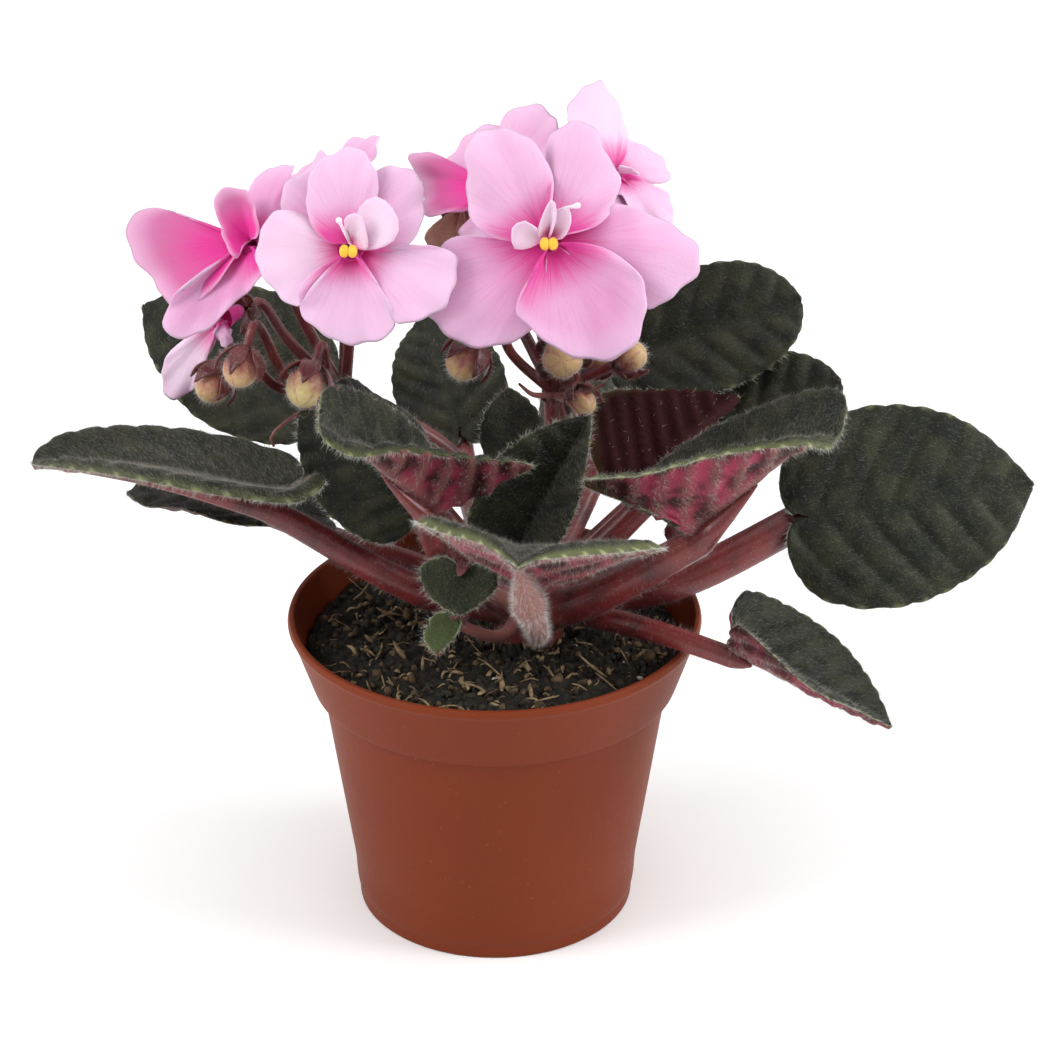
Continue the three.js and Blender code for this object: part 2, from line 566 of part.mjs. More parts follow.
    shade: "withered", petals: [plain(205, 8, 6, 0), plain(160, 7, 6, 1)] },
];

const bloom = {
  throat: 4,
  seat: 2.3,
  petal: 0.65,
  dome: 0.7,
  ruffle: 0.5,
  detail: 0.03,
  anther: { radius: 0.9, apart: 0.55, forward: 3, below: 1.3 },
  seen: [0, 0.5, 1],
  hidden: [0, 1],
};

// A petal spreads from a root deep in the throat to its margin, a little domed, with waves along its edge
function makePetal(margin, axes, depth, reach, columns) {
  const throat = vec(0, 0, 0);
  const rim = bend(throat, ...margin.map((point) => vec(...point)), throat);
  const out = margin.reduce((sum, point) => sum.add(vec(...point)), vec(0, 0, 0)).normalize();
  const grid = sheet(reach.length - 1, columns, (row, column) => {
    const far = reach[row];
    const along = mix(0.05, 0.95, column / columns);
    const place = rim.getPointAt(along).multiplyScalar(far).addScaledVector(out, 0.6 * (1 - far));
    const wave = bloom.ruffle * far ** 3 * Math.sin(along * 16 + margin[0][0]);
    place.z += bloom.dome * Math.sin(Math.PI * far) + wave - depth * (1 - far);
    return axes.centre.clone().addScaledVector(axes.x, place.x)
      .addScaledVector(axes.y, place.y).addScaledVector(axes.z, place.z);
  });
  return shell(grid, bloom.petal);
}

// Three directions of a bloom or bud: z is the way it looks, y its top and x its right
function faceAxes(centre, face) {
  const z = vec(...face).normalize();
  const y = vec(0, 0, 1).addScaledVector(z, -z.z).normalize();
  return { centre: vec(...centre), x: y.clone().cross(z), y, z };
}

function makeBloom(entry) {
  const axes = faceAxes(entry.centre, entry.face);
  const near = entry.face[1] < -0.85;
  const depthOf = (index) => 0.7 + 0.3 * index;
  const petals = entry.petals.map((petal, index) => petal.plain
    ? makePetal(petal, axes, depthOf(index), bloom.hidden, 5)
    : makePetal(petal, axes, depthOf(index), bloom.seen, near ? 8 : 7));
  const crest = entry.crest.map((petal, index) => makePetal(petal, axes, 0.5 * index, bloom.seen, 4));
  const back = axes.centre.clone().addScaledVector(axes.z, -bloom.throat);
  const tube = stalk(bend(back, axes.centre), (t) => mix(1, 1.7, t), 8, 2);
  const solid = fuse([tube, ...petals, ...crest], bloom.detail);
  addNode(`bloom_${entry.name}`, solid, colour[entry.shade ?? "bloom"], 0.6);
  if (near && !entry.shade) {
    const { radius, apart, forward, below } = bloom.anther;
    const middle = axes.centre.clone().addScaledVector(axes.z, forward).addScaledVector(axes.y, -below);
    const anthers = [-apart, apart].map((aside) => new THREE.SphereGeometry(radius, 6, 4)
      .translate(...middle.clone().addScaledVector(axes.x, aside)));
    addNode(`anthers_${entry.name}`, fuse(anthers), colour.anther, 0.6);
  }
}

// Buds: round, ridged by the folded petals, nodding from their calyces
const buds = [
  { name: "left_front", centre: [-25.9, -6, 84.8], radius: 2.7, face: [-0.3, -0.7, -0.6], spray: "left" },
  { name: "left_arched", centre: [-34.7, -7, 88], radius: 2.4, face: [-0.3, -0.4, -0.9], spray: "left",
    via: [-28, 6, 79], from: [-19, 12.5, 73] },
  { name: "left_low", centre: [-39.1, -2, 83.3], radius: 2.4, face: [-0.6, -0.3, -0.7], spray: "left",
    via: [-31, 6, 79.5], from: [-19, 12.5, 73] },
  { name: "right_arched", centre: [-3.8, -4, 87.8], radius: 2.6, face: [-0.6, -0.3, -0.7], spray: "right" },
  { name: "right_front", centre: [9.6, -3, 87.8], radius: 2.8, face: [0, -0.8, 0.3], spray: "right" },
  { name: "right_middle", centre: [14.4, 8, 82.7], radius: 2.1, face: [0.3, -0.2, 0.8], spray: "right" },
  { name: "right_outer", centre: [19.2, 3, 85.4], radius: 2.2, face: [0.7, -0.3, 0.5], spray: "right" },
  { name: "right_low", centre: [12.6, 1, 79.2], radius: 1.8, face: [0.4, -0.8, -0.3], spray: "right" },
];

function makeBud(entry) {
  const { centre, x, y, z } = faceAxes(entry.centre, entry.face);
  const sides = 10;
  const levels = 5;
  const ball = sheet(levels, sides, (row, column) => {
    const lift = (row / levels) * Math.PI;
    const turn = ((column % sides) / sides) * Math.PI * 2;
    const ridge = 1 + 0.06 * Math.cos(turn * 5);
    const out = entry.radius * Math.sin(lift) * ridge;
    return centre.clone().addScaledVector(z, -Math.cos(lift) * entry.radius * 1.1)
      .addScaledVector(x, Math.cos(turn) * out).addScaledVector(y, Math.sin(turn) * out);
  });
  addNode(`bud_${entry.name}`, meshOf(ball.points, ball.faces), colour.bud, 0.7);
}

// A calyx: a small cup of five pointed sepals round a seat of the given radius
function makeCalyx({ centre, x, y, z }, radius, reach, rows) {
  const sides = 10;
  const cup = sheet(rows, sides, (row, column) => {
    const lobe = column % 2 ? 0.75 : reach;
    const lift = row === rows ? 1.35 * lobe : 0.9 * row;
    const turn = ((column % sides) / sides) * Math.PI * 2;
    const out = (radius + gap + 0.45) * (row === rows ? 1.1 : 1);
    return centre.clone().addScaledVector(z, -Math.cos(lift) * out)
      .addScaledVector(x, Math.cos(turn) * Math.sin(lift) * out)
      .addScaledVector(y, Math.sin(turn) * Math.sin(lift) * out);
  });
  return shell(cup, 0.6);
}

// Sprays: one main stalk to a fork, and a thin stalk from there to each bloom and bud
const sprays = {
  left: { fork: [-21.5, 10, 76], via: [-7, 15, 64.5], start: [2.4, 3.4, 55] },
  right: { fork: [8.5, 6, 78.5], via: [8.8, 7.5, 65], start: [7.4, 1.8, 53.8] },
};
function makeSpray(side) {
  const { fork, via, start } = sprays[side];
  const main = stalk(bend(vec(...start), vec(...via), vec(...fork)), (t) => mix(1.9, 1.5, t), 7, 5);
  const twigs = [];
  const join = (entry, radius, seat, thick, reach, rows) => {
    const axes = faceAxes(entry.centre, entry.face);
    axes.centre.addScaledVector(axes.z, -seat);
    const end = axes.centre.clone().addScaledVector(axes.z, -(radius + gap + 0.5));
    const swing = end.clone().addScaledVector(axes.z, -3);
    twigs.push(makeCalyx(axes, radius, reach, rows));
    const from = vec(...(entry.from ?? fork));
    const middle = entry.via ? vec(...entry.via) : end.clone().lerp(from, 0.5).lerp(swing, 0.3);
    twigs.push(stalk(bend(from, middle, swing, end), (t) => mix(thick, thick * 0.8, t), 4, 4));
  };
  for (const entry of blooms.filter((each) => each.spray === side)) {
    join(entry, bloom.seat, bloom.throat - 0.9, 0.9, 1.15, 1);
  }
  for (const entry of buds.filter((each) => each.spray === side)) {
    join(entry, entry.radius * 1.1, 0, 0.8, 1.2, 2);
  }
  addNode(`spray_${side}`, fuse([main, ...twigs], 0.06), colour.spray, 0.8);
}

makePot();
makeSoil();
const leaves = leafTable.map(makeLeaf);
makeCrown(leaves);
blooms.forEach(makeBloom);
buds.forEach(makeBud);
makeSpray("left");
makeSpray("right");

export default root;
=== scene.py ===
import itertools
import math
import bmesh
import bpy
import numpy as np
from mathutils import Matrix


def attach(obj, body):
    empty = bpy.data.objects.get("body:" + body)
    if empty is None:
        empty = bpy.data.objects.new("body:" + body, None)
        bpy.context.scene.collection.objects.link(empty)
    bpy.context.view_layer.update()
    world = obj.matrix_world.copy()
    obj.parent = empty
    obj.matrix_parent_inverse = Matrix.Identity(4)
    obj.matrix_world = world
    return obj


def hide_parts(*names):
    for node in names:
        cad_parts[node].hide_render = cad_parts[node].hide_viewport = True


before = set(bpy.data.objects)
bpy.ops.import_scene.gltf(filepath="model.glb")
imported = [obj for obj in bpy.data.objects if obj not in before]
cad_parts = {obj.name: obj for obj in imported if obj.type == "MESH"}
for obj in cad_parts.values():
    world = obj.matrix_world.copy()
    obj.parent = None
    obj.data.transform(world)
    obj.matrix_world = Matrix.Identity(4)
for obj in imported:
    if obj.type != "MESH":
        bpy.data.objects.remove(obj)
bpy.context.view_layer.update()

mm = 0.001


# Small helpers

def unit(vectors):
    vectors = np.asarray(vectors, float)
    return vectors / np.maximum(np.linalg.norm(vectors, axis=-1, keepdims=True), 1e-9)


def mix(a, b, t):
    return a + (b - a) * t


def smooth(low, high, value):  # 0 below low, 1 above high, eased between
    t = np.clip((value - low) / (high - low), 0, 1)
    return t * t * (3 - 2 * t)


def frameOf(along, face):  # along, across to the left and the way the face looks
    x = unit(along)
    z = np.asarray(face, float)
    z = unit(z - x * (z @ x))
    return x, np.cross(z, x), z


def stepsOf(points):  # how far each point of a line is from the one before
    return np.linalg.norm(np.diff(points, axis=0), axis=1)


def walk(points):  # how far along a line each of its points is
    return np.concatenate([[0], np.cumsum(stepsOf(points))])


def sample(at, walked, points):  # the places at these distances along a line
    return np.stack([np.interp(at, walked, points[:, k]) for k in range(3)], -1)


def curveThrough(points, steps):  # a smooth curve through the points, in even steps
    points = [np.asarray(point, float) for point in points]
    points = [2 * points[0] - points[1]] + points + [2 * points[-1] - points[-2]]
    t = np.linspace(0, 1, 40, endpoint=False)[:, None]
    found = []
    for p0, p1, p2, p3 in zip(points, points[1:], points[2:], points[3:]):
        d0, d1, d2 = (max(np.linalg.norm(b - a) ** 0.5, 1e-4) for a, b in ((p0, p1), (p1, p2), (p2, p3)))
        m1 = ((p1 - p0) / d0 - (p2 - p0) / (d0 + d1) + (p2 - p1) / d1) * d1
        m2 = ((p2 - p1) / d1 - (p3 - p1) / (d1 + d2) + (p3 - p2) / d2) * d1
        cubic = 2 * p1 - 2 * p2 + m1 + m2
        square = -3 * p1 + 3 * p2 - 2 * m1 - m2
        found.append(p1 + m1 * t + square * t**2 + cubic * t**3)
    found = np.vstack(found + [points[-2][None]])
    walked = walk(found)
    return sample(np.linspace(0, walked[-1], steps + 1), walked, found)


def tubeGrid(path, radii, sides):  # rings of points round a path, and the way each looks out
    along = unit(np.gradient(path, axis=0))
    side = unit(np.cross(along[0], [0.3, 0.2, 1.0]))
    points, outward = [], []
    turns = np.linspace(0, 2 * math.pi, sides + 1)[:, None]
    for place, forward, radius in zip(path, along, radii):
        side = unit(side - forward * (side @ forward))
        ring = np.cos(turns) * side + np.sin(turns) * np.cross(forward, side)
        points.append(place + ring * radius)
        outward.append(ring)
    return np.array(points), np.array(outward)


def gridNormals(points):  # the way each point of a grid looks, along column x row
    columnWay = np.gradient(points, axis=1)
    rowWay = np.gradient(points, axis=0)
    normals = np.cross(columnWay, rowWay)
    size = np.linalg.norm(normals, axis=-1)
    poor = size < 1e-5 * max(size.max(), 1e-9)
    normals = unit(normals)
    for row, column in zip(*np.nonzero(poor)):  # a point where the grid closes looks as its neighbour does
        near = row - 1 if row > 0 else row + 1
        normals[row, column] = normals[near, column]
    return normals


def numbered(points):
    return np.arange(points[..., 0].size).reshape(points.shape[:2])


def cellsOf(number):  # the corners of each cell in a grid of point numbers
    return np.stack([number[:-1, :-1], number[:-1, 1:], number[1:, 1:], number[1:, :-1]], -1).reshape(-1, 4)


def wholeFaces(faces, places):  # cells that close to a triangle lose the doubled corner
    if faces.shape[1] == 3:
        return [faces]
    corners = places[faces]
    same = [np.all(corners[:, k] == corners[:, (k + 1) % 4], axis=1) for k in range(4)]
    doubled = np.sum(same, axis=0)
    return [faces[doubled == 0]] + [np.delete(faces[(doubled == 1) & same[k]], k, axis=1) for k in range(4)]


class Shape:  # gathers the points, faces and marks of one piece; finish is a place in its list of materials
    def __init__(self):
        self.points, self.faces, self.marks, self.count = [], [], [], 0

    def add(self, points, faces, finish=0, **marks):
        points = np.asarray(points, float).reshape(-1, 3)
        self.points.append(points)
        self.faces.append((np.asarray(faces) + self.count, finish))
        spread = {key: np.broadcast_to(np.ravel(value), len(points)) for key, value in marks.items()}
        self.marks.append(spread)
        self.count += len(points)

    def grid(self, points, finish=0, flip=False, **marks):
        faces = cellsOf(numbered(points))
        self.add(points, faces[:, ::-1] if flip else faces, finish, **marks)

    def skin(self, points, above, below, normals, closes, twoSided=False, **marks):
        # a closed sheet: above and below are how thick it is on each side, and it closes where closes
        # is true; one with two sides is marked under on its lower side
        number = numbered(points)
        top = points + normals * np.where(closes, 0, above)[..., None]
        low = points - normals * np.where(closes, 0, below)[..., None]
        lower = np.where(closes, number, number + number.size)
        faces = np.vstack([cellsOf(number), cellsOf(lower)[:, ::-1]])
        marks = {key: np.broadcast_to(value, (2, *number.shape)) for key, value in marks.items()}
        if twoSided:
            marks["under"] = np.stack([np.zeros(number.shape), ~closes])
        self.add(np.concatenate([top, low]), faces, **marks)
        return top, low

    def build(self, name, finishes, nodes=()):
        points = np.concatenate(self.points) * mm
        places = np.round(points, 8)  # corners this close count as one
        groups = [(part, finish) for faces, finish in self.faces for part in wholeFaces(faces, places)]
        corners = np.concatenate([part.reshape(-1) for part, _ in groups])
        totals = np.concatenate([np.full(len(part), part.shape[1]) for part, _ in groups])
        finishOf = np.concatenate([np.full(len(part), finish) for part, finish in groups])
        starts = np.concatenate([[0], np.cumsum(totals)[:-1]])
        used, corners = np.unique(corners, return_inverse=True)
        mesh = bpy.data.meshes.new(name)
        mesh.vertices.add(len(used))
        mesh.vertices.foreach_set("co", points[used].astype(np.float32).reshape(-1))
        mesh.loops.add(len(corners))
        mesh.loops.foreach_set("vertex_index", corners.astype(np.int32))
        mesh.polygons.add(len(totals))
        for field, values in (("loop_start", starts), ("loop_total", totals), ("material_index", finishOf)):
            mesh.polygons.foreach_set(field, values.astype(np.int32))
        mesh.polygons.foreach_set("use_smooth", np.ones(len(totals), bool))
        for key in sorted({key for row in self.marks for key in row}):
            values = np.concatenate([row.get(key, np.zeros(len(part))) for row, part in
                                     zip(self.marks, self.points)])
            layer = mesh.attributes.new(key, "FLOAT", "POINT")
            layer.data.foreach_set("value", values[used].astype(np.float32))
        mesh.update(calc_edges=True)
        mesh.validate()
        for finish in finishes:
            mesh.materials.append(finish)
        piece = bpy.data.objects.new(name, mesh)
        bpy.context.scene.collection.objects.link(piece)
        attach(piece, "root")
        if nodes:
            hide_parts(*nodes)
        return piece


# Materials

class Socket:  # a node's output, so that maths on it reads as an expression
    def __init__(self, finish, link):
        self.finish, self.link = finish, link

    def maths(self, operation, a, b):
        return self.finish.node("ShaderNodeMath", {"operation": operation}, {0: a, 1: b})

    def __add__(self, other):
        return self.maths("ADD", self, other)

    def __sub__(self, other):
        return self.maths("SUBTRACT", self, other)

    def __rsub__(self, other):
        return self.maths("SUBTRACT", other, self)

    def __mul__(self, other):
        return self.maths("MULTIPLY", self, other)

    __radd__, __rmul__ = __add__, __mul__


class Finish:  # a material and what makes its nodes
    def __init__(self, name):
        self.material = bpy.data.materials.new(name)
        self.material.use_nodes = True
        self.tree = self.material.node_tree
        self.tree.nodes.clear()
        self.place = self.node("ShaderNodeTexCoord", {}, {}, "Object")

    def node(self, kind, settings, sockets, out=0):
        made = self.tree.nodes.new(kind)
        for key, value in settings.items():
            setattr(made, key, value)
        for key, value in sockets.items():
            if isinstance(value, Socket):
                self.tree.links.new(value.link, made.inputs[key])
            else:
                made.inputs[key].default_value = value
        return Socket(self, made.outputs[out]) if len(made.outputs) else None

    def mark(self, name):
        return self.node("ShaderNodeAttribute", {"attribute_name": name}, {}, "Fac")

    def noise(self, perMm, detail=3, rough=0.55):
        sockets = {"Vector": self.place, "Scale": perMm / mm, "Detail": detail, "Roughness": rough}
        return self.node("ShaderNodeTexNoise", {}, sockets)

    def step(self, low, high, value):  # 0 below low, 1 above high
        sockets = {"Value": value, 1: low, 2: high}
        return self.node("ShaderNodeMapRange", {"interpolation_type": "SMOOTHSTEP"}, sockets)

    def blend(self, factor, a, b):
        shades = [shade if isinstance(shade, Socket) else (*shade, 1) for shade in (a, b)]
        return self.node("ShaderNodeMix", {"data_type": "RGBA"}, {0: factor, 6: shades[0], 7: shades[1]}, 2)

    def finish(self, colour, rough, height=None, depth=0.1, **fixed):
        sockets = {"Base Color": colour if isinstance(colour, Socket) else (*colour, 1), "Roughness": rough}
        if height is not None:
            bump = {"Height": height, "Strength": 1.0, "Distance": depth * mm}
            sockets["Normal"] = self.node("ShaderNodeBump", {}, bump)
        sockets.update({key.replace("_", " "): value for key, value in fixed.items()})
        shader = self.node("ShaderNodeBsdfPrincipled", {}, sockets)
        self.node("ShaderNodeOutputMaterial", {}, {"Surface": shader})
        return self.material


# In each dictionary of shades rough is the least roughness and bump how deep the grain is, in mm.
# Grain, mottle, patches, streaks, specks and scuffs are how fine that noise is, per mm
leafShades = {
    "dark": (0.008, 0.010, 0.006),
    "green": (0.030, 0.032, 0.015),
    "young": (0.090, 0.130, 0.040),
    # vein is painted shade for the sunken veins of the upper side
    "vein": (0.011, 0.013, 0.008),
    "rim": (0.105, 0.120, 0.045),
    "dot": (0.500, 0.520, 0.250),
    "below": (0.026, 0.003, 0.004),
    "blush": (0.350, 0.040, 0.085),
    "rib": (0.290, 0.110, 0.100),
    "belowRim": (0.130, 0.095, 0.040),
    "rough": 0.4, "grain": 2.6, "bump": 0.2, "mottle": 0.3, "patches": 0.16,
}


def leafFinish(name, sheen, gloss, dim=1.0):  # dim below 1 darkens the underside with painted shade
    f = Finish(name)
    under, vein, rim, tooth = f.mark("under"), f.mark("vein"), f.mark("rim"), f.mark("tooth")
    blush, young = f.mark("blush"), f.mark("young")
    mottle = f.step(0.35, 0.7, f.noise(leafShades["mottle"]))
    patch = f.step(0.42, 0.62, f.noise(leafShades["patches"], 2))
    fine = f.noise(leafShades["grain"], 4)
    top = f.blend(mottle, leafShades["dark"], leafShades["green"])
    # darker along the veins on top: painted shade in the sunken veins
    top = f.blend(vein * 0.6, top, leafShades["vein"])
    top = f.blend(young, top, leafShades["young"])
    edging = f.step(0.25, 0.9, rim + (fine - 0.5) * 0.5)
    top = f.blend(edging, top, leafShades["rim"])
    top = f.blend(tooth * rim, top, leafShades["dot"])
    shadow = tuple(dim * part for part in leafShades["below"])
    below = f.blend(patch * (1 - vein * 0.6) * blush + fine * 0.06 * dim, shadow, leafShades["blush"])
    below = f.blend(vein * (0.06 + blush * 0.6), below, leafShades["rib"])
    below = f.blend(rim * 0.6, below, leafShades["belowRim"])
    colour = f.blend(under, top, below)
    return f.finish(colour, leafShades["rough"] + fine * 0.3, fine, leafShades["bump"], Sheen_Weight=sheen,
                    Sheen_Roughness=0.45, Specular_IOR_Level=gloss)


def hairFinish(name, shade):
    f = Finish(name)
    colour = f.blend(f.noise(0.6), shade, tuple(0.75 * part for part in shade))
    return f.finish(colour, 0.5)


stalkShades = {
    "red": (0.170, 0.020, 0.020),
    "dark": (0.070, 0.009, 0.010),
    "pale": (0.400, 0.200, 0.170),
    "rough": 0.34, "grain": 1.6, "bump": 0.05, "patches": 0.18,
}


def stalkFinish():
    f = Finish("stalkSkin")
    pale, tip = f.mark("pale"), f.mark("tip")
    patch = f.step(0.35, 0.72, f.noise(stalkShades["patches"], 2))
    fine = f.noise(stalkShades["grain"], 3)
    colour = f.blend(patch, stalkShades["red"], stalkShades["dark"])
    colour = f.blend(pale * (0.65 + fine * 0.5), colour, stalkShades["pale"])
    colour = f.blend(tip * 0.35, colour, stalkShades["dark"])
    return f.finish(colour, stalkShades["rough"], fine, stalkShades["bump"], Sheen_Weight=0.03,
                    Subsurface_Weight=0.1, Subsurface_Scale=0.001)


petalShades = {
    "pink": (0.640, 0.240, 0.480),
    "pale": (0.740, 0.480, 0.665),
    "white": (0.830, 0.730, 0.800),
    "deep": (0.660, 0.012, 0.260),
    "streak": (0.500, 0.085, 0.310),
    "dusk": (0.430, 0.100, 0.240),
    "back": (0.690, 0.450, 0.620),
    "rough": 0.55, "grain": 3.0, "bump": 0.1, "mottle": 0.1, "streaks": 2.0, "fan": 12.0,
}


def petalFinish():  # streaks fan out from the throat
    f = Finish("petalSkin")
    reach, across, tone = f.mark("reach"), f.mark("across"), f.mark("tone")
    under, edge = f.mark("under"), f.mark("edge")
    fan = {"X": across * petalShades["fan"], "Y": reach * 1.1, "Z": tone * 5.0}
    sockets = {"Scale": petalShades["streaks"], "Detail": 4.0, "Roughness": 0.6}
    sockets["Vector"] = f.node("ShaderNodeCombineXYZ", {}, fan)
    streak = f.node("ShaderNodeTexNoise", {}, sockets)
    broad = f.noise(petalShades["mottle"], 2)
    shade = tone + (broad - 0.5) * 0.7 - reach * 0.35
    colour = f.blend(f.step(-0.2, 0.7, shade), petalShades["pale"], petalShades["pink"])
    colour = f.blend(f.step(-0.25, -0.6, tone), colour, petalShades["white"])
    colour = f.blend(f.step(1.0, 1.5, tone) * 0.8, colour, petalShades["dusk"])
    lines = f.step(0.44, 0.72, streak) * f.step(1.05, 0.15, reach)
    colour = f.blend(lines * (0.2 + tone * 0.25), colour, petalShades["streak"])
    core = f.step(0.75, 0.0, f.node("ShaderNodeMath", {"operation": "ABSOLUTE"}, {0: across}))
    flush = f.step(0.95, 0.1, reach + (streak - 0.5) * 0.4) * (core * 0.7 + 0.55) * f.step(0.6, 1.3, tone)
    colour = f.blend(flush, colour, petalShades["deep"])
    throat = f.step(0.46, 0.12, reach + (streak - 0.5) * 0.35)
    colour = f.blend(throat * (0.9 + tone * 0.1), colour, petalShades["deep"])
    colour = f.blend(under * 0.6, colour, petalShades["back"])
    colour = f.blend(edge * 0.55, colour, petalShades["pale"])
    grain = f.noise(petalShades["grain"], 3)
    rough = petalShades["rough"] + grain * 0.2
    relief = grain * 0.5 + streak * 0.6
    return f.finish(colour, rough, relief, petalShades["bump"], Sheen_Weight=0.1, Sheen_Roughness=0.4,
                    Subsurface_Weight=0.25, Subsurface_Scale=0.0012, Subsurface_Radius=(1.0, 0.4, 0.6))


witheredShades = {
    "dark": (0.30, 0.13, 0.08),
    "pale": (0.50, 0.30, 0.22),
    "rough": 0.7, "grain": 1.5, "bump": 0.3, "mottle": 0.8,
}


def witheredFinish():
    f = Finish("witheredPetal")
    colour = f.blend(f.noise(witheredShades["mottle"]), witheredShades["dark"], witheredShades["pale"])
    return f.finish(colour, witheredShades["rough"], f.noise(witheredShades["grain"]), witheredShades["bump"])


antherShades = {
    "orange": (0.86, 0.40, 0.01),
    "yellow": (0.92, 0.60, 0.06),
    "rough": 0.55, "grain": 5.0, "bump": 0.1, "mottle": 1.2,
}


def antherFinish():
    f = Finish("antherSkin")
    colour = f.blend(f.noise(antherShades["mottle"]), antherShades["orange"], antherShades["yellow"])
    return f.finish(colour, antherShades["rough"], f.noise(antherShades["grain"]), antherShades["bump"],
                    Subsurface_Weight=0.2, Subsurface_Scale=0.001)


budShades = {
    "peach": (0.520, 0.280, 0.130),
    "cream": (0.560, 0.470, 0.190),
    "blush": (0.300, 0.045, 0.060),
    "rough": 0.45, "grain": 1.5, "bump": 0.08, "streaks": 0.9,
}


def budFinish():
    f = Finish("budSkin")
    fold, reach, cream = f.mark("vein"), f.mark("reach"), f.mark("cream")
    fine = f.noise(budShades["grain"])
    colour = f.blend(cream + (fine - 0.5) * 0.5, budShades["peach"], budShades["cream"])
    streaks = f.noise(budShades["streaks"], 2)
    colour = f.blend(f.step(0.85, 0.35, reach + (streaks - 0.5) * 0.6) * 0.85, colour, budShades["blush"])
    colour = f.blend(fold * 0.6, colour, budShades["blush"])
    return f.finish(colour, budShades["rough"], fine, budShades["bump"], Sheen_Weight=0.25,
                    Subsurface_Weight=0.15, Subsurface_Scale=0.001)


potShades = {
    "clay": (0.145, 0.024, 0.008),
    # pale is the lighter clay of the mottle, and also a painted highlight on the lip
    "pale": (0.190, 0.037, 0.013),
    "dust": (0.450, 0.200, 0.120),
    "rough": 0.4, "grain": 1.1, "bump": 0.04, "mottle": 0.03, "specks": 1.8, "scuffs": 0.5,
}


def potFinish():
    f = Finish("potPlastic")
    lip = f.mark("rim")
    wide = f.noise(potShades["mottle"], 2)
    fine = f.noise(potShades["grain"], 5, 0.7)
    specks = f.step(0.70, 0.76, f.noise(potShades["specks"], 2))
    scuffs = f.step(0.62, 0.8, f.noise(potShades["scuffs"], 6, 0.75))
    colour = f.blend(wide, potShades["clay"], potShades["pale"])
    colour = f.blend(specks * 0.2 + scuffs * 0.12, colour, potShades["dust"])
    # the top of the lip is paler: a painted highlight
    colour = f.blend(lip * 0.6, colour, potShades["pale"])
    rough = potShades["rough"] + fine * 0.15 + scuffs * 0.1
    return f.finish(colour, rough, fine, potShades["bump"], Specular_IOR_Level=0.1)


soilShades = {
    "dark": (0.007, 0.006, 0.003),
    "brown": (0.040, 0.027, 0.013),
    "wood": (0.130, 0.080, 0.035),
    "woodPale": (0.330, 0.240, 0.130),
    "moss": (0.030, 0.036, 0.012),
    "perlite": (0.40, 0.37, 0.32),
    "perlitePale": (0.62, 0.58, 0.52),
    "rough": 0.95, "grain": 1.2, "bump": 0.6, "patches": 0.18, "mottle": 0.7,
}


def soilFinish():
    f = Finish("soilDark")
    fine = f.noise(soilShades["grain"], 5, 0.7)
    colour = f.blend(f.step(0.4, 0.8, fine), soilShades["dark"], soilShades["brown"])
    mossy = f.step(0.6, 0.75, f.noise(soilShades["patches"]))
    colour = f.blend(mossy * 0.6, colour, soilShades["moss"])
    return f.finish(colour, soilShades["rough"], fine, soilShades["bump"])


def strewnFinish(name, shade, paler):  # for crumbs, fibres, bark and perlite
    f = Finish(name)
    colour = f.blend(f.step(0.3, 0.7, f.noise(soilShades["mottle"])), soilShades[shade], soilShades[paler])
    return f.finish(colour, 0.85, f.noise(2.0))


hairShades = {
    "leaf": (0.26, 0.25, 0.21),
    "rim": (0.62, 0.62, 0.55),
    "stalk": (0.50, 0.38, 0.36),
    "bud": (0.80, 0.74, 0.70),
}

leafSkin = leafFinish("leafSkin", 0.05, 0.22)
leafShadow = leafFinish("leafShadow", 0.0, 0.05, 0.45)  # for the leaf whose underside is near black: burgundy darkened with painted shade, and less gloss
leafHair = hairFinish("leafHair", hairShades["leaf"])
rimHair = hairFinish("rimHair", hairShades["rim"])
stalkSkin = stalkFinish()
stalkHair = hairFinish("stalkHair", hairShades["stalk"])
budHair = hairFinish("budHair", hairShades["bud"])
petalSkin = petalFinish()
witheredPetal = witheredFinish()
antherSkin = antherFinish()
budSkin = budFinish()
potPlastic = potFinish()
soilDark = soilFinish()
soilFibre = strewnFinish("soilFibre", "wood", "woodPale")
soilCrumb = strewnFinish("soilCrumb", "dark", "brown")
soilBark = strewnFinish("soilBark", "brown", "wood")
soilPerlite = strewnFinish("soilPerlite", "perlite", "perlitePale")
print("materials made")


# Hairs: thin three-sided spikes, rooted in a surface. A bent one has a second ring at its middle

hairShape = {"rooted": 0.08, "middle": 0.55, "middleWidth": 0.7, "curl": 0.35, "middleCurl": 0.25}
straightCells = [[0, 1, 3], [1, 2, 3], [2, 0, 3]]
bentCells = [[0, 1, 4], [0, 4, 3], [1, 2, 5], [1, 5, 4], [2, 0, 3], [2, 3, 5],
             [3, 4, 6], [4, 5, 6], [5, 3, 6]]


def scatter(points, normals, count, draw, weight=None):
    # places drawn evenly over a grid of points, with the way each looks and its row direction
    cornerA, cornerB, cornerC = points[:-1, :-1], points[:-1, 1:], points[1:, :-1]
    area = np.linalg.norm(np.cross(cornerB - cornerA, cornerC - cornerA), axis=-1)
    if weight is not None:
        area = area * weight[:-1, :-1]
    chance = np.cumsum(area.reshape(-1))
    picked = np.searchsorted(chance, draw.random(count) * chance[-1])
    row, column = np.unravel_index(np.minimum(picked, area.size - 1), area.shape)
    a, b = draw.random((2, count, 1))

    def between(grid):
        low = mix(grid[row, column], grid[row, column + 1], a)
        high = mix(grid[row + 1, column], grid[row + 1, column + 1], a)
        return mix(low, high, b)

    along = unit(points[row + 1, column] - points[row, column])
    return between(points), unit(between(normals)), along


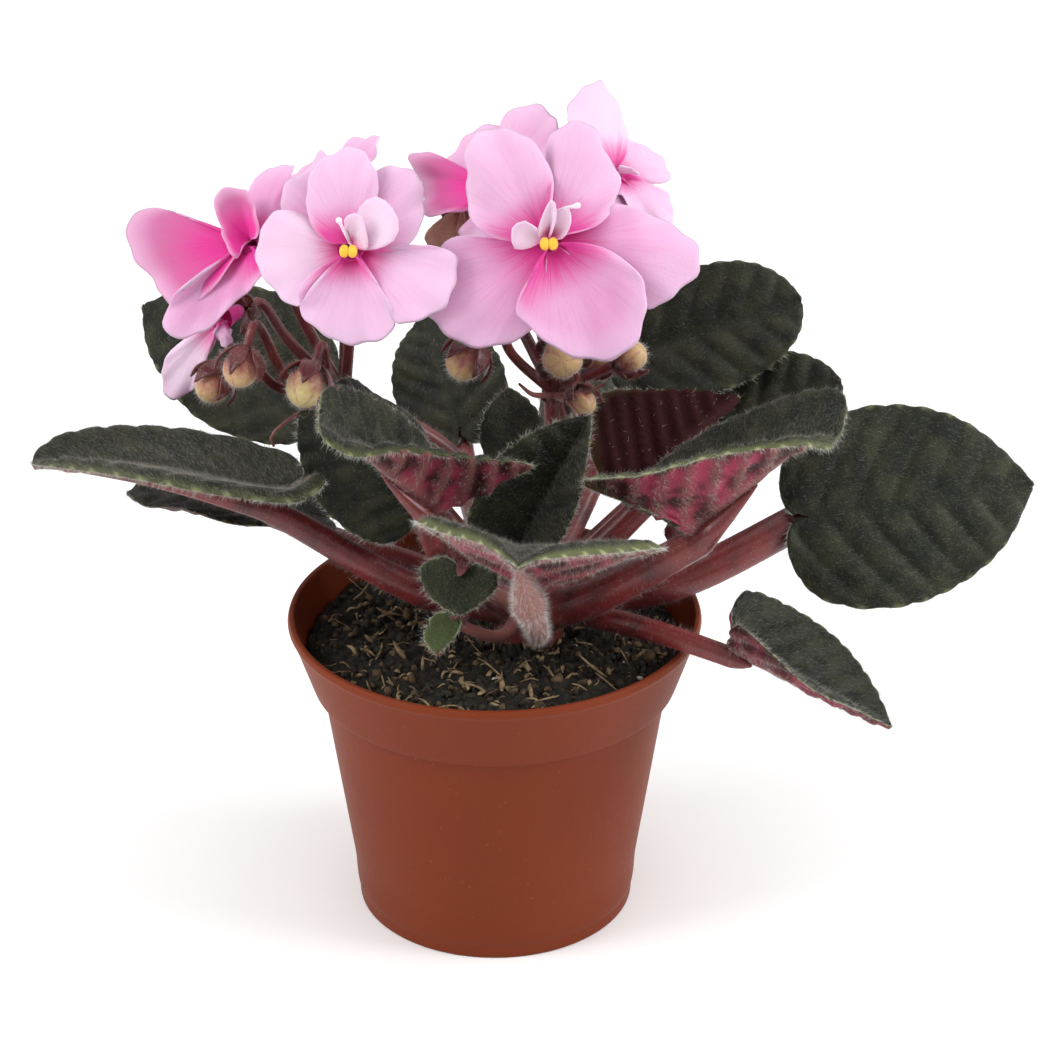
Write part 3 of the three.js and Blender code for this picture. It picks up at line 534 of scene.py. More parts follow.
def addHairs(shape, roots, ways, lengths, width, draw, bent=False, finish=1):
    count = len(roots)
    if not count:
        return
    h = hairShape
    ways, lengths = unit(ways), lengths[:, None]
    side = unit(np.cross(ways, unit(draw.normal(size=(count, 3)))))
    other = np.cross(ways, side)
    turns = (np.array([0, 2, 4]) * math.pi / 3)[:, None]
    ring = (side[:, None] * np.cos(turns) + other[:, None] * np.sin(turns)) * width
    rings = [(roots - ways * h["rooted"])[:, None] + ring]
    tip = roots + ways * lengths
    if bent:
        sway = unit(draw.normal(size=(count, 3))) * lengths * h["curl"]
        rings.append((roots + ways * lengths * h["middle"] + sway * h["middleCurl"])[:, None]
                     + ring * h["middleWidth"])
        tip = tip + sway
    points = np.concatenate([*rings, tip[:, None]], axis=1)
    start = np.arange(count)[:, None] * points.shape[1]
    faces = np.concatenate([start + np.array(cell) for cell in (bentCells if bent else straightCells)])
    shape.add(points, faces, finish)


# Pot

potShape = {
    "height": 46.6, "rim": 30, "lip": 1.5, "wall": 1, "bandFoot": 36.5, "bandRadius": 26.9, "bodyTop": 25.2,
    "bodyLow": 20.9, "heelHeight": 7, "footRadius": 20.3, "footHeight": 1.9, "floor": 1.2, "panel": 12,
    "holes": 6, "holeRadius": 1.9, "holeRing": 15, "segments": 144, "cornerSteps": 3, "longestRun": 2.0,
    "wobble": 0.0012, "seam": 0.05, "seamTurn": 4.2, "seamWidth": 0.012, "sharpAngle": 35,
}


def bandSlope():
    return (potShape["rim"] - potShape["bandRadius"]) / (potShape["height"] - potShape["bandFoot"])


def potOutline():  # radius and height round the pot's section, each with how far its corner is eased
    p = potShape
    top, rim, lip, wall = p["height"], p["rim"], p["lip"], p["wall"]
    band, bandFoot, body, panel = p["bandRadius"], p["bandFoot"], p["bodyTop"], p["panel"]
    low, heel, foot, footTop = p["bodyLow"], p["heelHeight"], p["footRadius"], p["footHeight"]
    outside = [
        (0, 0, 0), (panel, 0, 0.2), (panel + 0.6, footTop * 0.8, 0.2), (foot - 2.2, footTop * 0.8, 0.2),
        (foot - 1.6, 0, 0.2), (foot, 0, 0.4), (foot, footTop, 0.15), (foot + 0.3, footTop + 0.9, 0.3),
        (low - (low - foot) * 0.3, heel * 0.55, 1), (low, heel, 1.2), (body, bandFoot - 0.6, 0.4),
        (band - 0.4, bandFoot - 0.4, 0.25), (band, bandFoot + 0.7, 0.4),
        (rim - bandSlope() * lip, top - lip, 0.3), (rim, top - 0.9, 0.25), (rim - 0.3, top, 0.25),
    ]
    inside = [
        (rim - wall, top, 0.25), (rim - wall - 0.4, top - lip, 0.4), (band - wall, bandFoot + 0.4, 0.4),
        (body - wall, bandFoot - 1.2, 0.4), (low - wall, heel, 1), (foot - wall, footTop + 2, 0.5),
        (foot - wall - 1, footTop + p["floor"], 0.4), (0, footTop + p["floor"], 0),
    ]
    return outside + inside


def easedOutline(outline):  # corners rounded off and long runs cut up
    rows = []
    for index, (radius, height, ease) in enumerate(outline):
        here = np.array([radius, height], float)
        if ease == 0:
            rows.append(here)
            continue
        before = np.array(outline[index - 1][:2], float)
        after = np.array(outline[index + 1][:2], float)
        a = here + unit(before - here) * min(ease, np.linalg.norm(before - here) * 0.45)
        b = here + unit(after - here) * min(ease, np.linalg.norm(after - here) * 0.45)
        for t in np.linspace(0, 1, potShape["cornerSteps"] + 1):
            rows.append(mix(mix(a, here, t), mix(here, b, t), t))
    full = [rows[0]]
    for row in rows[1:]:
        pieces = max(1, int(math.ceil(np.linalg.norm(row - full[-1]) / potShape["longestRun"])))
        start = full[-1]
        full += [mix(start, row, (k + 1) / pieces) for k in range(pieces)]
    return np.array(full)


def weld(piece):
    work = bmesh.new()
    work.from_mesh(piece.data)
    bmesh.ops.remove_doubles(work, verts=work.verts, dist=1e-7)
    bmesh.ops.recalc_face_normals(work, faces=work.faces)
    work.to_mesh(piece.data)
    work.free()


def applyModifiers(piece):
    evaluated = piece.evaluated_get(bpy.context.evaluated_depsgraph_get())
    old = piece.data
    mesh = bpy.data.meshes.new_from_object(evaluated)
    piece.modifiers.clear()
    piece.data = mesh
    mesh.name = piece.name
    bpy.data.meshes.remove(old)


def drillHole(pot, turn):
    path = np.array([[0, 0, -2.0], [0, 0, 1], [0, 0, 5.0]])  # from below the floor to above it
    path += [math.cos(turn) * potShape["holeRing"], math.sin(turn) * potShape["holeRing"], 0]
    drill = Shape()
    ring, _ = tubeGrid(path, [potShape["holeRadius"]] * 3, 24)
    drill.grid(ring)
    for end, flip in ((0, False), (-1, True)):
        drill.grid(np.stack([np.broadcast_to(path[end], ring[end].shape), ring[end]]), flip=flip)
    cutter = drill.build("drill", [])
    weld(cutter)
    cut = pot.modifiers.new("hole", "BOOLEAN")
    cut.operation, cut.object, cut.solver = "DIFFERENCE", cutter, "EXACT"
    applyModifiers(pot)
    bpy.data.objects.remove(cutter)


def makePot():
    p = potShape
    outline = easedOutline(potOutline())
    turns = np.linspace(0, 2 * math.pi, p["segments"] + 1)
    wobble = 1 + p["wobble"] * np.sin(turns * 3 + 0.5)[None] * smooth(5, 40, outline[:, 1])[:, None]
    seam = p["seam"] * np.exp(-((turns - p["seamTurn"]) / p["seamWidth"]) ** 2)[None]
    radius = outline[:, :1] * wobble + seam * (outline[:, 0] > 18)[:, None]
    height = np.broadcast_to(outline[:, 1:], radius.shape)
    points = np.stack([radius * np.cos(turns), radius * np.sin(turns), height], -1)
    points[:, -1] = points[:, 0]
    shape = Shape()
    # rim marks the top of the lip, where the finish paints a highlight
    lip = smooth(p["height"] - 1.6, p["height"] - 0.2, height)
    shape.grid(points, rim=lip)
    pot = shape.build("nurseryPot", [potPlastic], ["pot"])
    weld(pot)
    for hole in range(p["holes"]):
        drillHole(pot, (hole + 0.5) / p["holes"] * 2 * math.pi)
    pot.data.set_sharp_from_angle(angle=math.radians(p["sharpAngle"]))


makePot()
print("pot made")


# Soil

# side is radius and height down the inside of the wall. What is strewn has its count, how far it
# keeps from the wall, its least and greatest size, how much the small ones prevail and its finish
soilShape = {
    "level": 42.4, "bumps": 0.7, "rough": 0.22, "rings": 60, "sectors": 144, "edge": (0.55, 40),
    "side": [(25.5, 37), (23.8, 35), (19.6, 7), (18, 3.5), (0, 3.5)],
    "strewn": [
        {"count": 1300, "inset": 0.8, "size": (0.2, 0.75), "small": 2.5, "finish": 1},  # crumbs of peat
        {"count": 240, "inset": 1, "size": (0.3, 0.95), "small": 2, "finish": 4},  # bark
        {"count": 14, "inset": 1, "size": (0.2, 0.55), "small": 1, "finish": 3},  # perlite
    ],
    "fibres": 300,
}
fibreShape = {
    "length": (1.0, 4.5), "lift": (-0.1, 0.9), "bend": 0.25, "width": (0.08, 0.4), "clear": 0.12,
    "swell": [0.5, 1, 1.1, 1, 0.8, 0.2],
}


def soilTop(x, y):
    lumps = np.sin(x * 0.9 + 1.3) * np.cos(y * 0.8 - 0.4) + 0.6 * np.sin(x * 2.1 - y * 1.7)
    fine = 0.5 * np.cos(x * 3.7 + y * 2.9)
    edge = np.clip((np.hypot(x, y) - 22) / 6, 0, 1)
    return soilShape["level"] + soilShape["bumps"] * (lumps + fine) * 0.6 - 1.1 * edge**2


def soilRadius():
    p = potShape
    return p["bandRadius"] - p["wall"] - 0.3 + bandSlope() * (soilShape["level"] - 1.2 - p["bandFoot"])


def makeSoil():
    draw = np.random.default_rng(5)
    s = soilShape
    radius = soilRadius()
    far = np.linspace(0, 1, s["rings"]) * radius
    turns = np.linspace(0, 2 * math.pi, s["sectors"] + 1)
    x, y = far[:, None] * np.cos(turns), far[:, None] * np.sin(turns)
    rough = draw.normal(size=(s["rings"], s["sectors"])) * s["rough"]
    rough = np.concatenate([rough, rough[:, :1]], axis=1)
    rough[0] = 0
    z = soilTop(x, y) + rough + 0.25 * np.sin(x * 5.1 + y * 2.3) * np.sin(y * 4.7)
    top = np.stack([x, y, z], -1)
    inset, edge = s["edge"]
    side = np.array([np.stack([r * np.cos(turns), r * np.sin(turns), np.full_like(turns, height)], -1)
                     for r, height in [(radius - inset, edge), *s["side"]]])
    shape = Shape()
    shape.grid(np.concatenate([top, side]), flip=True)
    for kind in s["strewn"]:
        for _ in range(kind["count"]):
            place = drawPlace(draw, radius - kind["inset"])
            addCrumb(shape, draw, place, mix(*kind["size"], draw.random() ** kind["small"]), kind["finish"])
    for _ in range(s["fibres"]):
        addFibre(shape, draw, drawPlace(draw, radius - 2.5))
    finishes = [soilDark, soilCrumb, soilFibre, soilPerlite, soilBark]
    shape.build("pottingSoil", finishes, ["soil"])


def drawPlace(draw, radius):
    far, turn = radius * math.sqrt(draw.random()), draw.random() * 2 * math.pi
    x, y = far * math.cos(turn), far * math.sin(turn)
    return np.array([x, y, float(soilTop(x, y))])


# A crumb is an uneven lump with twenty sides
golden = 1.618
signs = [(a, b) for b in (1, -1) for a in (1, -1)]
crumbPoints = unit([(0, a, b * golden) for a, b in signs] + [(a, b * golden, 0) for a, b in signs]
                   + [(a * golden, 0, b) for a, b in signs])


def crumbSides():  # the triangles between near corners, each turned to look outwards
    found = []
    for i, j, k in itertools.combinations(range(12), 3):
        a, b, c = crumbPoints[[i, j, k]]
        if max(np.linalg.norm(a - b), np.linalg.norm(b - c), np.linalg.norm(a - c)) < 1.1:
            found.append([i, j, k] if np.cross(b - a, c - a) @ a > 0 else [k, j, i])
    return found


crumbFaces = crumbSides()


def addCrumb(shape, draw, place, size, finish):
    stretch = size * mix(0.35, 1.5, draw.random(3))
    points = crumbPoints * mix(0.75, 1.25, draw.random((12, 1))) * stretch
    turn = draw.random() * math.pi
    spin = np.array([[math.cos(turn), -math.sin(turn), 0], [math.sin(turn), math.cos(turn), 0], [0, 0, 1]])
    shape.add(points @ spin + place + [0, 0, size * 0.25], crumbFaces, finish)


def addFibre(shape, draw, place):
    f = fibreShape
    length, heading = mix(*f["length"], draw.random() ** 2), draw.random() * 2 * math.pi
    lift = mix(*f["lift"], draw.random() ** 2)
    way = np.array([math.cos(heading), math.sin(heading), lift])
    bend = np.array([-math.sin(heading), math.cos(heading), 0.3]) * mix(-1, 1, draw.random())
    middle = place + way * length * 0.5 + bend * length * f["bend"] + [0, 0, 0.35]
    end = place + way * length + [0, 0, 0.1]
    if math.hypot(end[0], end[1]) > soilRadius() - 0.5:
        return
    path = curveThrough([place, middle, end], 5)
    path[:, 2] = np.maximum(path[:, 2], soilTop(path[:, 0], path[:, 1]) + f["clear"])
    width = mix(*f["width"], draw.random() ** 2)
    grid, _ = tubeGrid(path, width * np.array(f["swell"]), 4)
    shape.grid(grid, 2)


makeSoil()
print("soil made")


# Leaves. base and tip end the midrib, face is the way the upper side looks, fold lifts the left and
# right halves and open is the share of that left at the tip. A leaf that folds in its own way has a
# ridge, the middle of its midrib, and points of its left and right rims. Its stalk runs from the
# height root in the crown past via, stout at its foot and slim, a share of that, at the blade.

leafDefaults = {
    "face": [0, 0, 1], "fold": [12, 12], "open": [0.8, 0.8], "curl": 14, "wide": 1, "blunt": 0.2, "lobe": 1,
    "wave": 0.02, "root": 47.5, "stout": 2.2, "slim": 0.8, "little": False,
}
littleLeaf = {"slim": 0.7, "little": True}
leafTable = [
    {"name": "left_long", "base": [-30.5, -2, 66], "ridge": [-46.5, -2, 70], "tip": [-65.5, 0, 70],
      "left": [[-27.5, -8, 71], [-23, -14, 74], [-26.5, -18, 73], [-37, -19, 74.5], [-51.5, -13, 74.5],
        [-61.5, -5, 72]],
      "right": [[-27.5, 3, 66.5], [-28.5, 8, 66.5], [-37, 13, 67], [-48, 13, 69], [-58.5, 8, 71],
        [-64.5, 3, 71]],
      "via": [-7.8, -4, 50.6], "stout": 2.4, "slim": 0.75},
    {"name": "left_low", "base": [-27, 10, 57], "tip": [-53.5, 10, 60.5], "fold": [16, 10], "blunt": 0.5},
    {"name": "left_dark", "base": [-12.4, -4, 65.5], "tip": [-26.8, -7, 81.4], "face": [-0.2, -0.8, 0.5],
      "wide": 0.85},
    {"name": "left_raised", "base": [-9, 3, 66.8], "tip": [-23, 0, 82.4], "face": [0, 0.2, 1],
      "fold": [20, 32]},
    {"name": "left_folded", "base": [-7.5, -17, 71.5], "ridge": [-15.5, -21, 81.5], "tip": [-23, -25, 90],
      "left": [[-2, -16, 74], [5.5, -15, 77], [-3, -18, 79.5], [-12.5, -23, 83], [-18.5, -27.5, 84.5],
        [-22.5, -28, 87.5]],
      "right": [[-5.5, -13, 72.5], [-7.5, -10, 75], [-9.5, -11, 79], [-14, -15, 85.5], [-19, -19, 90],
        [-22.5, -23, 91.5]],
      "via": [-6, -9.5, 57.5], "stout": 1.9},
    {"name": "front_notched", "base": [5, -20, 61], "ridge": [3.5, -34, 74], "tip": [3.5, -50, 79.5],
      "left": [[10, -16, 60.5], [17.5, -17, 63.5], [23, -27, 70.5], [17, -37, 75], [10, -44, 78],
        [5.5, -48, 79.5]],
      "right": [[1.5, -17, 62.5], [-6, -19, 67.5], [-10, -30, 76], [-6.5, -38, 78.5], [-1.5, -44, 80],
        [2, -48, 80]],
      "root": 45.5, "via": [6.3, -12, 49], "stout": 1.9, "slim": 0.9},
    {"name": "right_folded", "base": [27, -14, 67], "ridge": [37.5, -14, 77], "tip": [48.5, -12, 84],
      "left": [[22, -7, 68], [22.5, -3, 70.5], [29, -2, 75.5], [36, -4, 80], [43.5, -7, 84], [48, -10, 85.5]],
      "right": [[21.5, -17, 71], [12, -18, 76], [20, -20, 78], [30.5, -21, 81.5], [41.5, -19, 82],
        [46.5, -15, 80]],
      "via": [11.5, -6, 50.6], "stout": 2.8, "slim": 0.75},
    {"name": "right_burgundy", "base": [21, 1, 65.5], "ridge": [26.5, 6, 70], "tip": [35.5, 15, 73.5],
      "left": [[19, 8, 63.5], [21, 15, 65], [27, 20, 67.5], [33, 20, 70.5]],
      "right": [[16.5, -1, 67], [13.5, 0, 72.5], [15, 7, 77.5], [22.5, 11, 76.5], [30, 15, 74]]},
    {"name": "right_top", "base": [20.4, 30, 73.6], "tip": [45.4, 32, 81.4], "face": [-0.2, -0.8, 0.5],
      "blunt": 1, "wide": 0.85, "via": [15, 24, 57]},
    {"name": "right_behind", "base": [30, 25, 61.8], "tip": [51.2, 25, 71.3], "face": [-0.2, -0.7, 0.7],
      "blunt": 1, "wide": 0.85, "via": [20, 21, 52]},
    {"name": "right_wide", "base": [45.1, 4, 59.7], "tip": [77.9, 8, 62.7], "face": [0, -0.89, 0.45],
      "fold": [3, 3], "lobe": 0.7, "via": [25.3, 0, 51], "stout": 2.7, "slim": 0.95, "blunt": 0.3},
    {"name": "right_low", "base": [34, -16.5, 50], "ridge": [43, -20, 46.5], "tip": [55.5, -24, 41],
      "left": [[33.5, -13, 53.5], [35.5, -10, 55], [42, -9, 52], [49, -12, 48], [53.5, -18, 44]],
      "right": [[33.5, -19, 53.5], [34, -22, 56], [38.5, -26, 53.5], [43.5, -28, 49.5], [50, -27, 45.5]],
      "root": 47.8, "via": [23.4, -12, 49.4], "stout": 1.8},
    {"name": "front_heart", "base": [-4, -16.5, 61.5], "ridge": [-4, -19, 59.5], "tip": [-4.5, -21, 57],
      "face": [0, -0.85, 0.5],
      "left": [[-2.5, -16, 62.5], [0, -17, 62], [0.6, -18.5, 60.4], [-1.5, -20, 58.5]],
      "right": [[-6.5, -16, 63.5], [-10, -17, 62.5], [-9.5, -19, 60], [-7, -20.5, 58]],
      **littleLeaf, "stout": 1.3},
    {"name": "front_small", "base": [-5, -19.5, 56], "ridge": [-6.5, -22, 54.5], "tip": [-8, -24, 52.5],
      "face": [-0.2, -0.8, 0.5], "left": [[-4.5, -20.5, 55.5], [-5.5, -22, 54], [-7, -23.5, 53]],
      "right": [[-5.5, -20, 57], [-8, -20.5, 57], [-9, -21.5, 56], [-9.5, -23, 54.5]], "via": [1, -10, 47.8],
      **littleLeaf, "stout": 1},
    {"name": "middle_pointed", "base": [3.6, -6, 59.7], "tip": [13.4, -5, 80], "face": [-0.2, -0.9, 0.4],
      "fold": [40, 65], "via": [4.6, -0.5, 53], "stout": 1.4},
    {"name": "middle_curled", "base": [26.5, 5, 56.5], "tip": [32.6, 3, 61.5], "face": [0, 0.3, 1],
      "fold": [30, 30], **littleLeaf, "stout": 1.1},
    {"name": "back_inner", "base": [3, 18, 61.5], "tip": [2, 23, 71.5], "face": [0, -0.8, 0.4],
      "via": [2, 18.5, 52.5], **littleLeaf, "stout": 1.4},
    {"name": "back_middle", "base": [-5.5, 34, 59.7], "tip": [-10.2, 48, 73.1], "face": [0, -0.7, 0.7],
      "via": [-3, 24, 49.8]},
    {"name": "back_left", "base": [-29, 26, 68.1], "tip": [-52.5, 34, 80], "face": [0.1, -0.6, 0.7],
      "via": [-15, 18, 56]},
    {"name": "back_right", "base": [16, 36, 56], "tip": [26, 62, 58.5], "face": [0, -0.1, 1],
      "via": [11, 24, 50.5]},
]

# How each leaf looks: blush is how pink its underside is, lime how light its rim is, roll how far its
# margin rolls over in mm, cup how far its halves sag, young how light its green is, hairy how thick
# its down is above and downy below, mattAndShaded gives the near black underside, with less gloss and
# painted shade, pale how pale its stalk is, tail how far the stalk stays thick under the blade, flare
# how much it widens there and fuzz how thick the stalk's hair is
leafLooks = {
    "left_long": {"blush": 0.75, "tail": 0.8, "lime": 0.6, "roll": 1.0, "hairy": 2.4, "cup": -0.03},
    "left_folded": {"blush": 0.85, "lime": 0.8, "roll": 1.1, "hairy": 3.6},
    "front_notched": {"blush": 0.9, "pale": 0.6, "lime": 1.0, "roll": 1.2, "hairy": 1.6, "cup": 0.02,
      "fuzz": 4, "flare": 1.0},
    "right_folded": {"blush": 1.0, "lime": 0.9, "roll": 1.2, "hairy": 2.2},
    # the underside of right_burgundy is darkened to near black with painted shade
    "right_burgundy": {"blush": 0.0, "lime": 0.7, "roll": 0.6, "downy": 0.06, "mattAndShaded": True},
    "right_low": {"blush": 0.7, "tail": 0.14, "lime": 0.4, "hairy": 1.4},
    "front_heart": {"blush": 0.5, "pale": 0.5, "lime": 0.6, "young": 0.1, "hairy": 1.4},
    "front_small": {"blush": 0.5, "pale": 0.4, "lime": 0.9, "young": 0.6, "hairy": 1.4},
    "middle_pointed": {"hairy": 1.0},
    "right_wide": {"hairy": 0.8},
    "left_dark": {"hairy": 0.6},
}

leafDetail = {
    "thickness": 0.9, "rows": 84, "columns": 16, "littleRows": 40, "littleColumns": 9, "plainRows": 0.7,
    "scallops": 16, "littleScallops": 0.6, "scallopDepth": 0.34, "cup": 0.1, "rimmedCup": 0.06,
    "veins": 6.0, "veinSweep": 0.55, "veinBend": 0.012, "veinWidth": 0.55, "midribWidth": 0.8,
    "keel": 0.9, "ribDepth": 0.25, "quilt": 0.5, "littleQuilt": 0.5, "net": 0.05,
}
leafHairs = {
    "top": 5.0, "topWidth": 0.013, "under": 3.4, "underWidth": 0.016, "length": (0.4, 1.1),
    "fringe": 10.0, "fringeWidth": 0.017, "fringeLength": (0.4, 1.3),
}


def bezier(points, t):
    a, b, c, d = (np.array(point, float) for point in points)
    t = t[..., None]
    return a * (1 - t) ** 3 + 3 * b * t * (1 - t) ** 2 + 3 * c * t**2 * (1 - t) + d * t**3


# On a leaf s runs along the rim from base to tip, v from the midrib to the rim and side is 1 on the
# left half and -1 on the right. u is the share of the way to the tip, and spread the mm from the midrib

def scallopAt(leaf, s, v):  # the small round teeth of the margin, -0.6 to 0.4
    count = leafDetail["scallops"] * (leafDetail["littleScallops"] if leaf["little"] else 1)
    wave = np.abs(np.sin(s * math.pi * count + leaf["seed"])) - 0.6
    return wave * v**7 * smooth(0.08, 0.25, s) * smooth(1.0, 0.93, s)


def ribFoot(s):  # where each rib leaves the midrib: those of the first quarter at its base
    return np.clip((s - 0.25) / 0.75, 0, 1) ** 1.4


def rimmedSurface(leaf, s, v, side):  # ribs from the midrib out to the rims
    base, tip = np.array(leaf["base"], float), np.array(leaf["tip"], float)
    steps = 300
    midrib, left, right = (curveThrough([base, *points, tip], steps)
                           for points in ([leaf["ridge"]], leaf["left"], leaf["right"]))
    walked = np.linspace(0, 1, steps + 1)
    share = ribFoot(s)
    foot = sample(share, walked, midrib)
    edge = np.where((side > 0)[..., None], sample(s, walked, left), sample(s, walked, right))
    out = edge - foot
    scallop = scallopAt(leaf, s, v) * leafDetail["scallopDepth"]
    place = foot + out * v[..., None] + unit(out) * scallop[..., None]
    u = mix(share, (edge - base) @ (tip - base) / np.linalg.norm(tip - base) ** 2, v)
    return place, u, np.linalg.norm(out, axis=-1) * v


def bladeSurface(leaf, s, v, side):  # the plain leaf: one outline, bent along its midrib and folded
    base, tip = np.array(leaf["base"], float), np.array(leaf["tip"], float)
    length = np.linalg.norm(tip - base)
    x, y, z = frameOf(tip - base, leaf["face"])
    curl = math.radians(leaf["curl"])
    arc = 0.5 / math.sin(curl / 2)
    blunt = leaf["blunt"]
    rear = [(-0.02, 0), (-0.26, 0), (-0.18, 0.44), (0.33, 0.44)]
    fore = [(0.33, 0.44), (0.62 + 0.1 * blunt, 0.44), (0.86 + 0.12 * blunt, 0.2 + 0.1 * blunt), (1, 0)]
    rim = np.where((s < 0.5)[..., None], bezier(rear, np.clip(s * 2, 0, 1)),
                   bezier(fore, np.clip(s * 2 - 1, 0, 1)))
    half = np.where(side > 0, 0, 1)
    spread = rim[..., 1] * leaf["wide"] * v + scallopAt(leaf, s, v) * leafDetail["scallopDepth"] / length
    u = mix(ribFoot(s), np.where(rim[..., 0] < 0, rim[..., 0] * leaf["lobe"], rim[..., 0]), v)
    opened = mix(1, np.array(leaf["open"])[half], np.clip((u + 0.15) / 0.55, 0, 1))
    angle = np.radians(np.array(leaf["fold"])[half] * opened)
    lift = spread * np.sin(angle) + leaf["wave"] * v**3 * np.sin(s * 19 + side)
    out = spread * np.cos(angle)
    bulge = leafDetail["cup"] * spread * np.sin(math.pi * v**0.8) * angle
    lift, out = lift - bulge * np.cos(angle), out + bulge * np.sin(angle)
    turn = curl * (u - 0.5)
    height = arc * (np.cos(turn) - math.cos(curl / 2)) + lift * np.cos(turn)
    forward = 0.5 + arc * np.sin(turn) + lift * np.sin(turn)
    place = base + x * (forward * length)[..., None] + y * (side * out * length)[..., None]
    return place + z * (height * length)[..., None], u, spread * length


def leafGrid(leaf):  # s, v and side for rows from the base to the tip and columns from rim to rim
    d = leafDetail
    rows, columns = (d["littleRows"], d["littleColumns"]) if leaf["little"] else (d["rows"], d["columns"])
    rows = rows if "hairy" in leaf else int(rows * d["plainRows"])
    across = np.linspace(-1, 1, 2 * columns + 1)
    ones = np.ones((rows + 1, 2 * columns + 1))
    s = mix(0.05, 1, np.linspace(0, 1, rows + 1))[:, None] * ones
    return s, (1 - (1 - np.abs(across)) ** 1.35) * ones, np.where(across <= 0, 1.0, -1.0) * ones


def leafVeins(leaf, v, side, u, spread):  # mm to the nearest side vein, and how much of each kind is here
    d = leafDetail
    along = u - (d["veinSweep"] + d["veinBend"] * spread) * spread / leaf["length"]
    phase = along * d["veins"] + 0.15 * side + leaf["phase"]
    near = np.abs(phase - np.round(phase)) / d["veins"] * leaf["length"]
    sideVein = np.exp(-((near / d["veinWidth"]) ** 2)) * smooth(1.0, 0.8, v) * smooth(0.0, 0.08, v)
    return near, sideVein, np.exp(-((spread / d["midribWidth"]) ** 2))


def leafQuilt(leaf, s, v, side, u, spread, near):  # how far the cells between the veins stand up, in mm
    d = leafDetail
    swell = d["quilt"] * (d["littleQuilt"] if leaf["little"] else 1)
    quilt = swell * (smooth(0, 1.7, near) * smooth(0, 2.4, spread) - 0.5)
    net = d["net"] * np.sin(u * leaf["length"] * 2.4 + 3 * np.sin(spread * 0.9)) * np.sin(spread * 2.7 + side)
    quilt = (quilt + net * smooth(0.5, 2, near)) * smooth(1.0, 0.82, v) * smooth(0.0, 0.15, s - 0.05)
    return quilt * smooth(1.02, 0.9, s)


def addDown(shape, leaf, points, normals, top, low, vein, draw):  # the hairs of both sides
    h = leafHairs
    area = np.linalg.norm(np.cross(np.gradient(points, axis=0), np.gradient(points, axis=1)), axis=-1).sum()
    count = int(area * h["top"] * leaf.get("hairy", 0.3))
    roots, ways, along = scatter(top, normals, count, draw)
    ways = ways + along * 0.8 + draw.normal(size=ways.shape) * 0.4
    addHairs(shape, roots, ways, mix(*h["length"], draw.random(count)), h["topWidth"], draw)
    count = int(area * h["under"] * leaf.get("downy", 1 if "ridge" in leaf else 0.5))
    roots, ways, along = scatter(low, -normals, count, draw, 0.12 + vein)
    ways = ways + along * 0.4 + draw.normal(size=ways.shape) * 0.4
    addHairs(shape, roots, ways, mix(*h["length"], draw.random(count)), h["underWidth"], draw, finish=2)


def addFringe(shape, leaf, edge, inner, draw):  # the hairs of one margin
    h = leafHairs
    walked = walk(edge)
    count = int(walked[-1] * h["fringe"] * (1.15 if "roll" in leaf else 0.9 if "hairy" in leaf else 0.5))
    at = draw.random(count) * walked[-1]
    roots = sample(at, walked, edge)
    outward = unit(roots - sample(at, walked, inner))
    lie = unit(sample(at, walked, np.gradient(edge, axis=0)))
    ways = outward + lie * 0.35 + draw.normal(size=outward.shape) * 0.45
    lengths = mix(*h["fringeLength"], draw.random(count))
    addHairs(shape, roots, ways, lengths, h["fringeWidth"], draw, bent=True, finish=2)


def makeLeaf(entry, seed):
    leaf = {**leafDefaults, **entry, **leafLooks.get(entry["name"], {})}
    leaf["seed"], leaf["phase"] = seed * 1.7, seed * 0.37
    leaf["length"] = np.linalg.norm(np.array(leaf["tip"], float) - leaf["base"])
    d = leafDetail
    draw = np.random.default_rng(100 + seed)
    s, v, side = leafGrid(leaf)
    points, u, spread = (rimmedSurface if "ridge" in leaf else bladeSurface)(leaf, s, v, side)
    normals = gridNormals(points)
    if "ridge" in leaf:
        sag = leaf.get("cup", d["rimmedCup"]) * spread * np.sin(math.pi * v**0.8)
        roll = leaf.get("roll", 0) * smooth(0.5, 0.86, v) * smooth(1.0, 0.88, v) * smooth(0.08, 0.3, s)
        points = points - normals * sag[..., None] + [0, 0, 1] * (roll * smooth(1.0, 0.85, s))[..., None]
        normals = gridNormals(points)
    near, sideVein, midVein = leafVeins(leaf, v, side, u, spread)
    vein = np.maximum(sideVein, midVein)
    points = points + normals * leafQuilt(leaf, s, v, side, u, spread, near)[..., None]
    normals = gridNormals(points)
    above = d["thickness"] / 2 * np.sqrt(np.clip(1 - v**8, 0, 1))
    keel = d["keel"] * midVein * smooth(1.0, 0.35, u) + d["ribDepth"] * sideVein * smooth(1.0, 0.7, v)
    rim = smooth(0.84 if "roll" in leaf else 0.93, 0.99, v) * leaf.get("lime", 0.3)
    shape = Shape()
    top, low = shape.skin(points, above, above + keel, normals, (v > 0.999) | (s > 0.999), twoSided=True,
                          vein=vein, rim=rim, tooth=smooth(0.25, 0.38, scallopAt(leaf, s, v)),
                          blush=leaf.get("blush", 0.35), young=leaf.get("young", 0.0))
    addDown(shape, leaf, points, normals, top, low, vein, draw)
    addFringe(shape, leaf, points[:, 0], points[:, 2], draw)
    addFringe(shape, leaf, points[:, -1], points[:, -3], draw)
    name = "leaf_" + leaf["name"]
    shape.build(name, [leafShadow if "mattAndShaded" in leaf else leafSkin, leafHair, rimHair], [name])
    middle = v.shape[1] // 2
    return {**leaf, "midrib": low[:, middle], "midribFace": normals[:, middle], "midribU": u[:, middle]}


leaves = [makeLeaf(entry, seed) for seed, entry in enumerate(leafTable)]
print("leaves made")


# Crown and leaf stalks

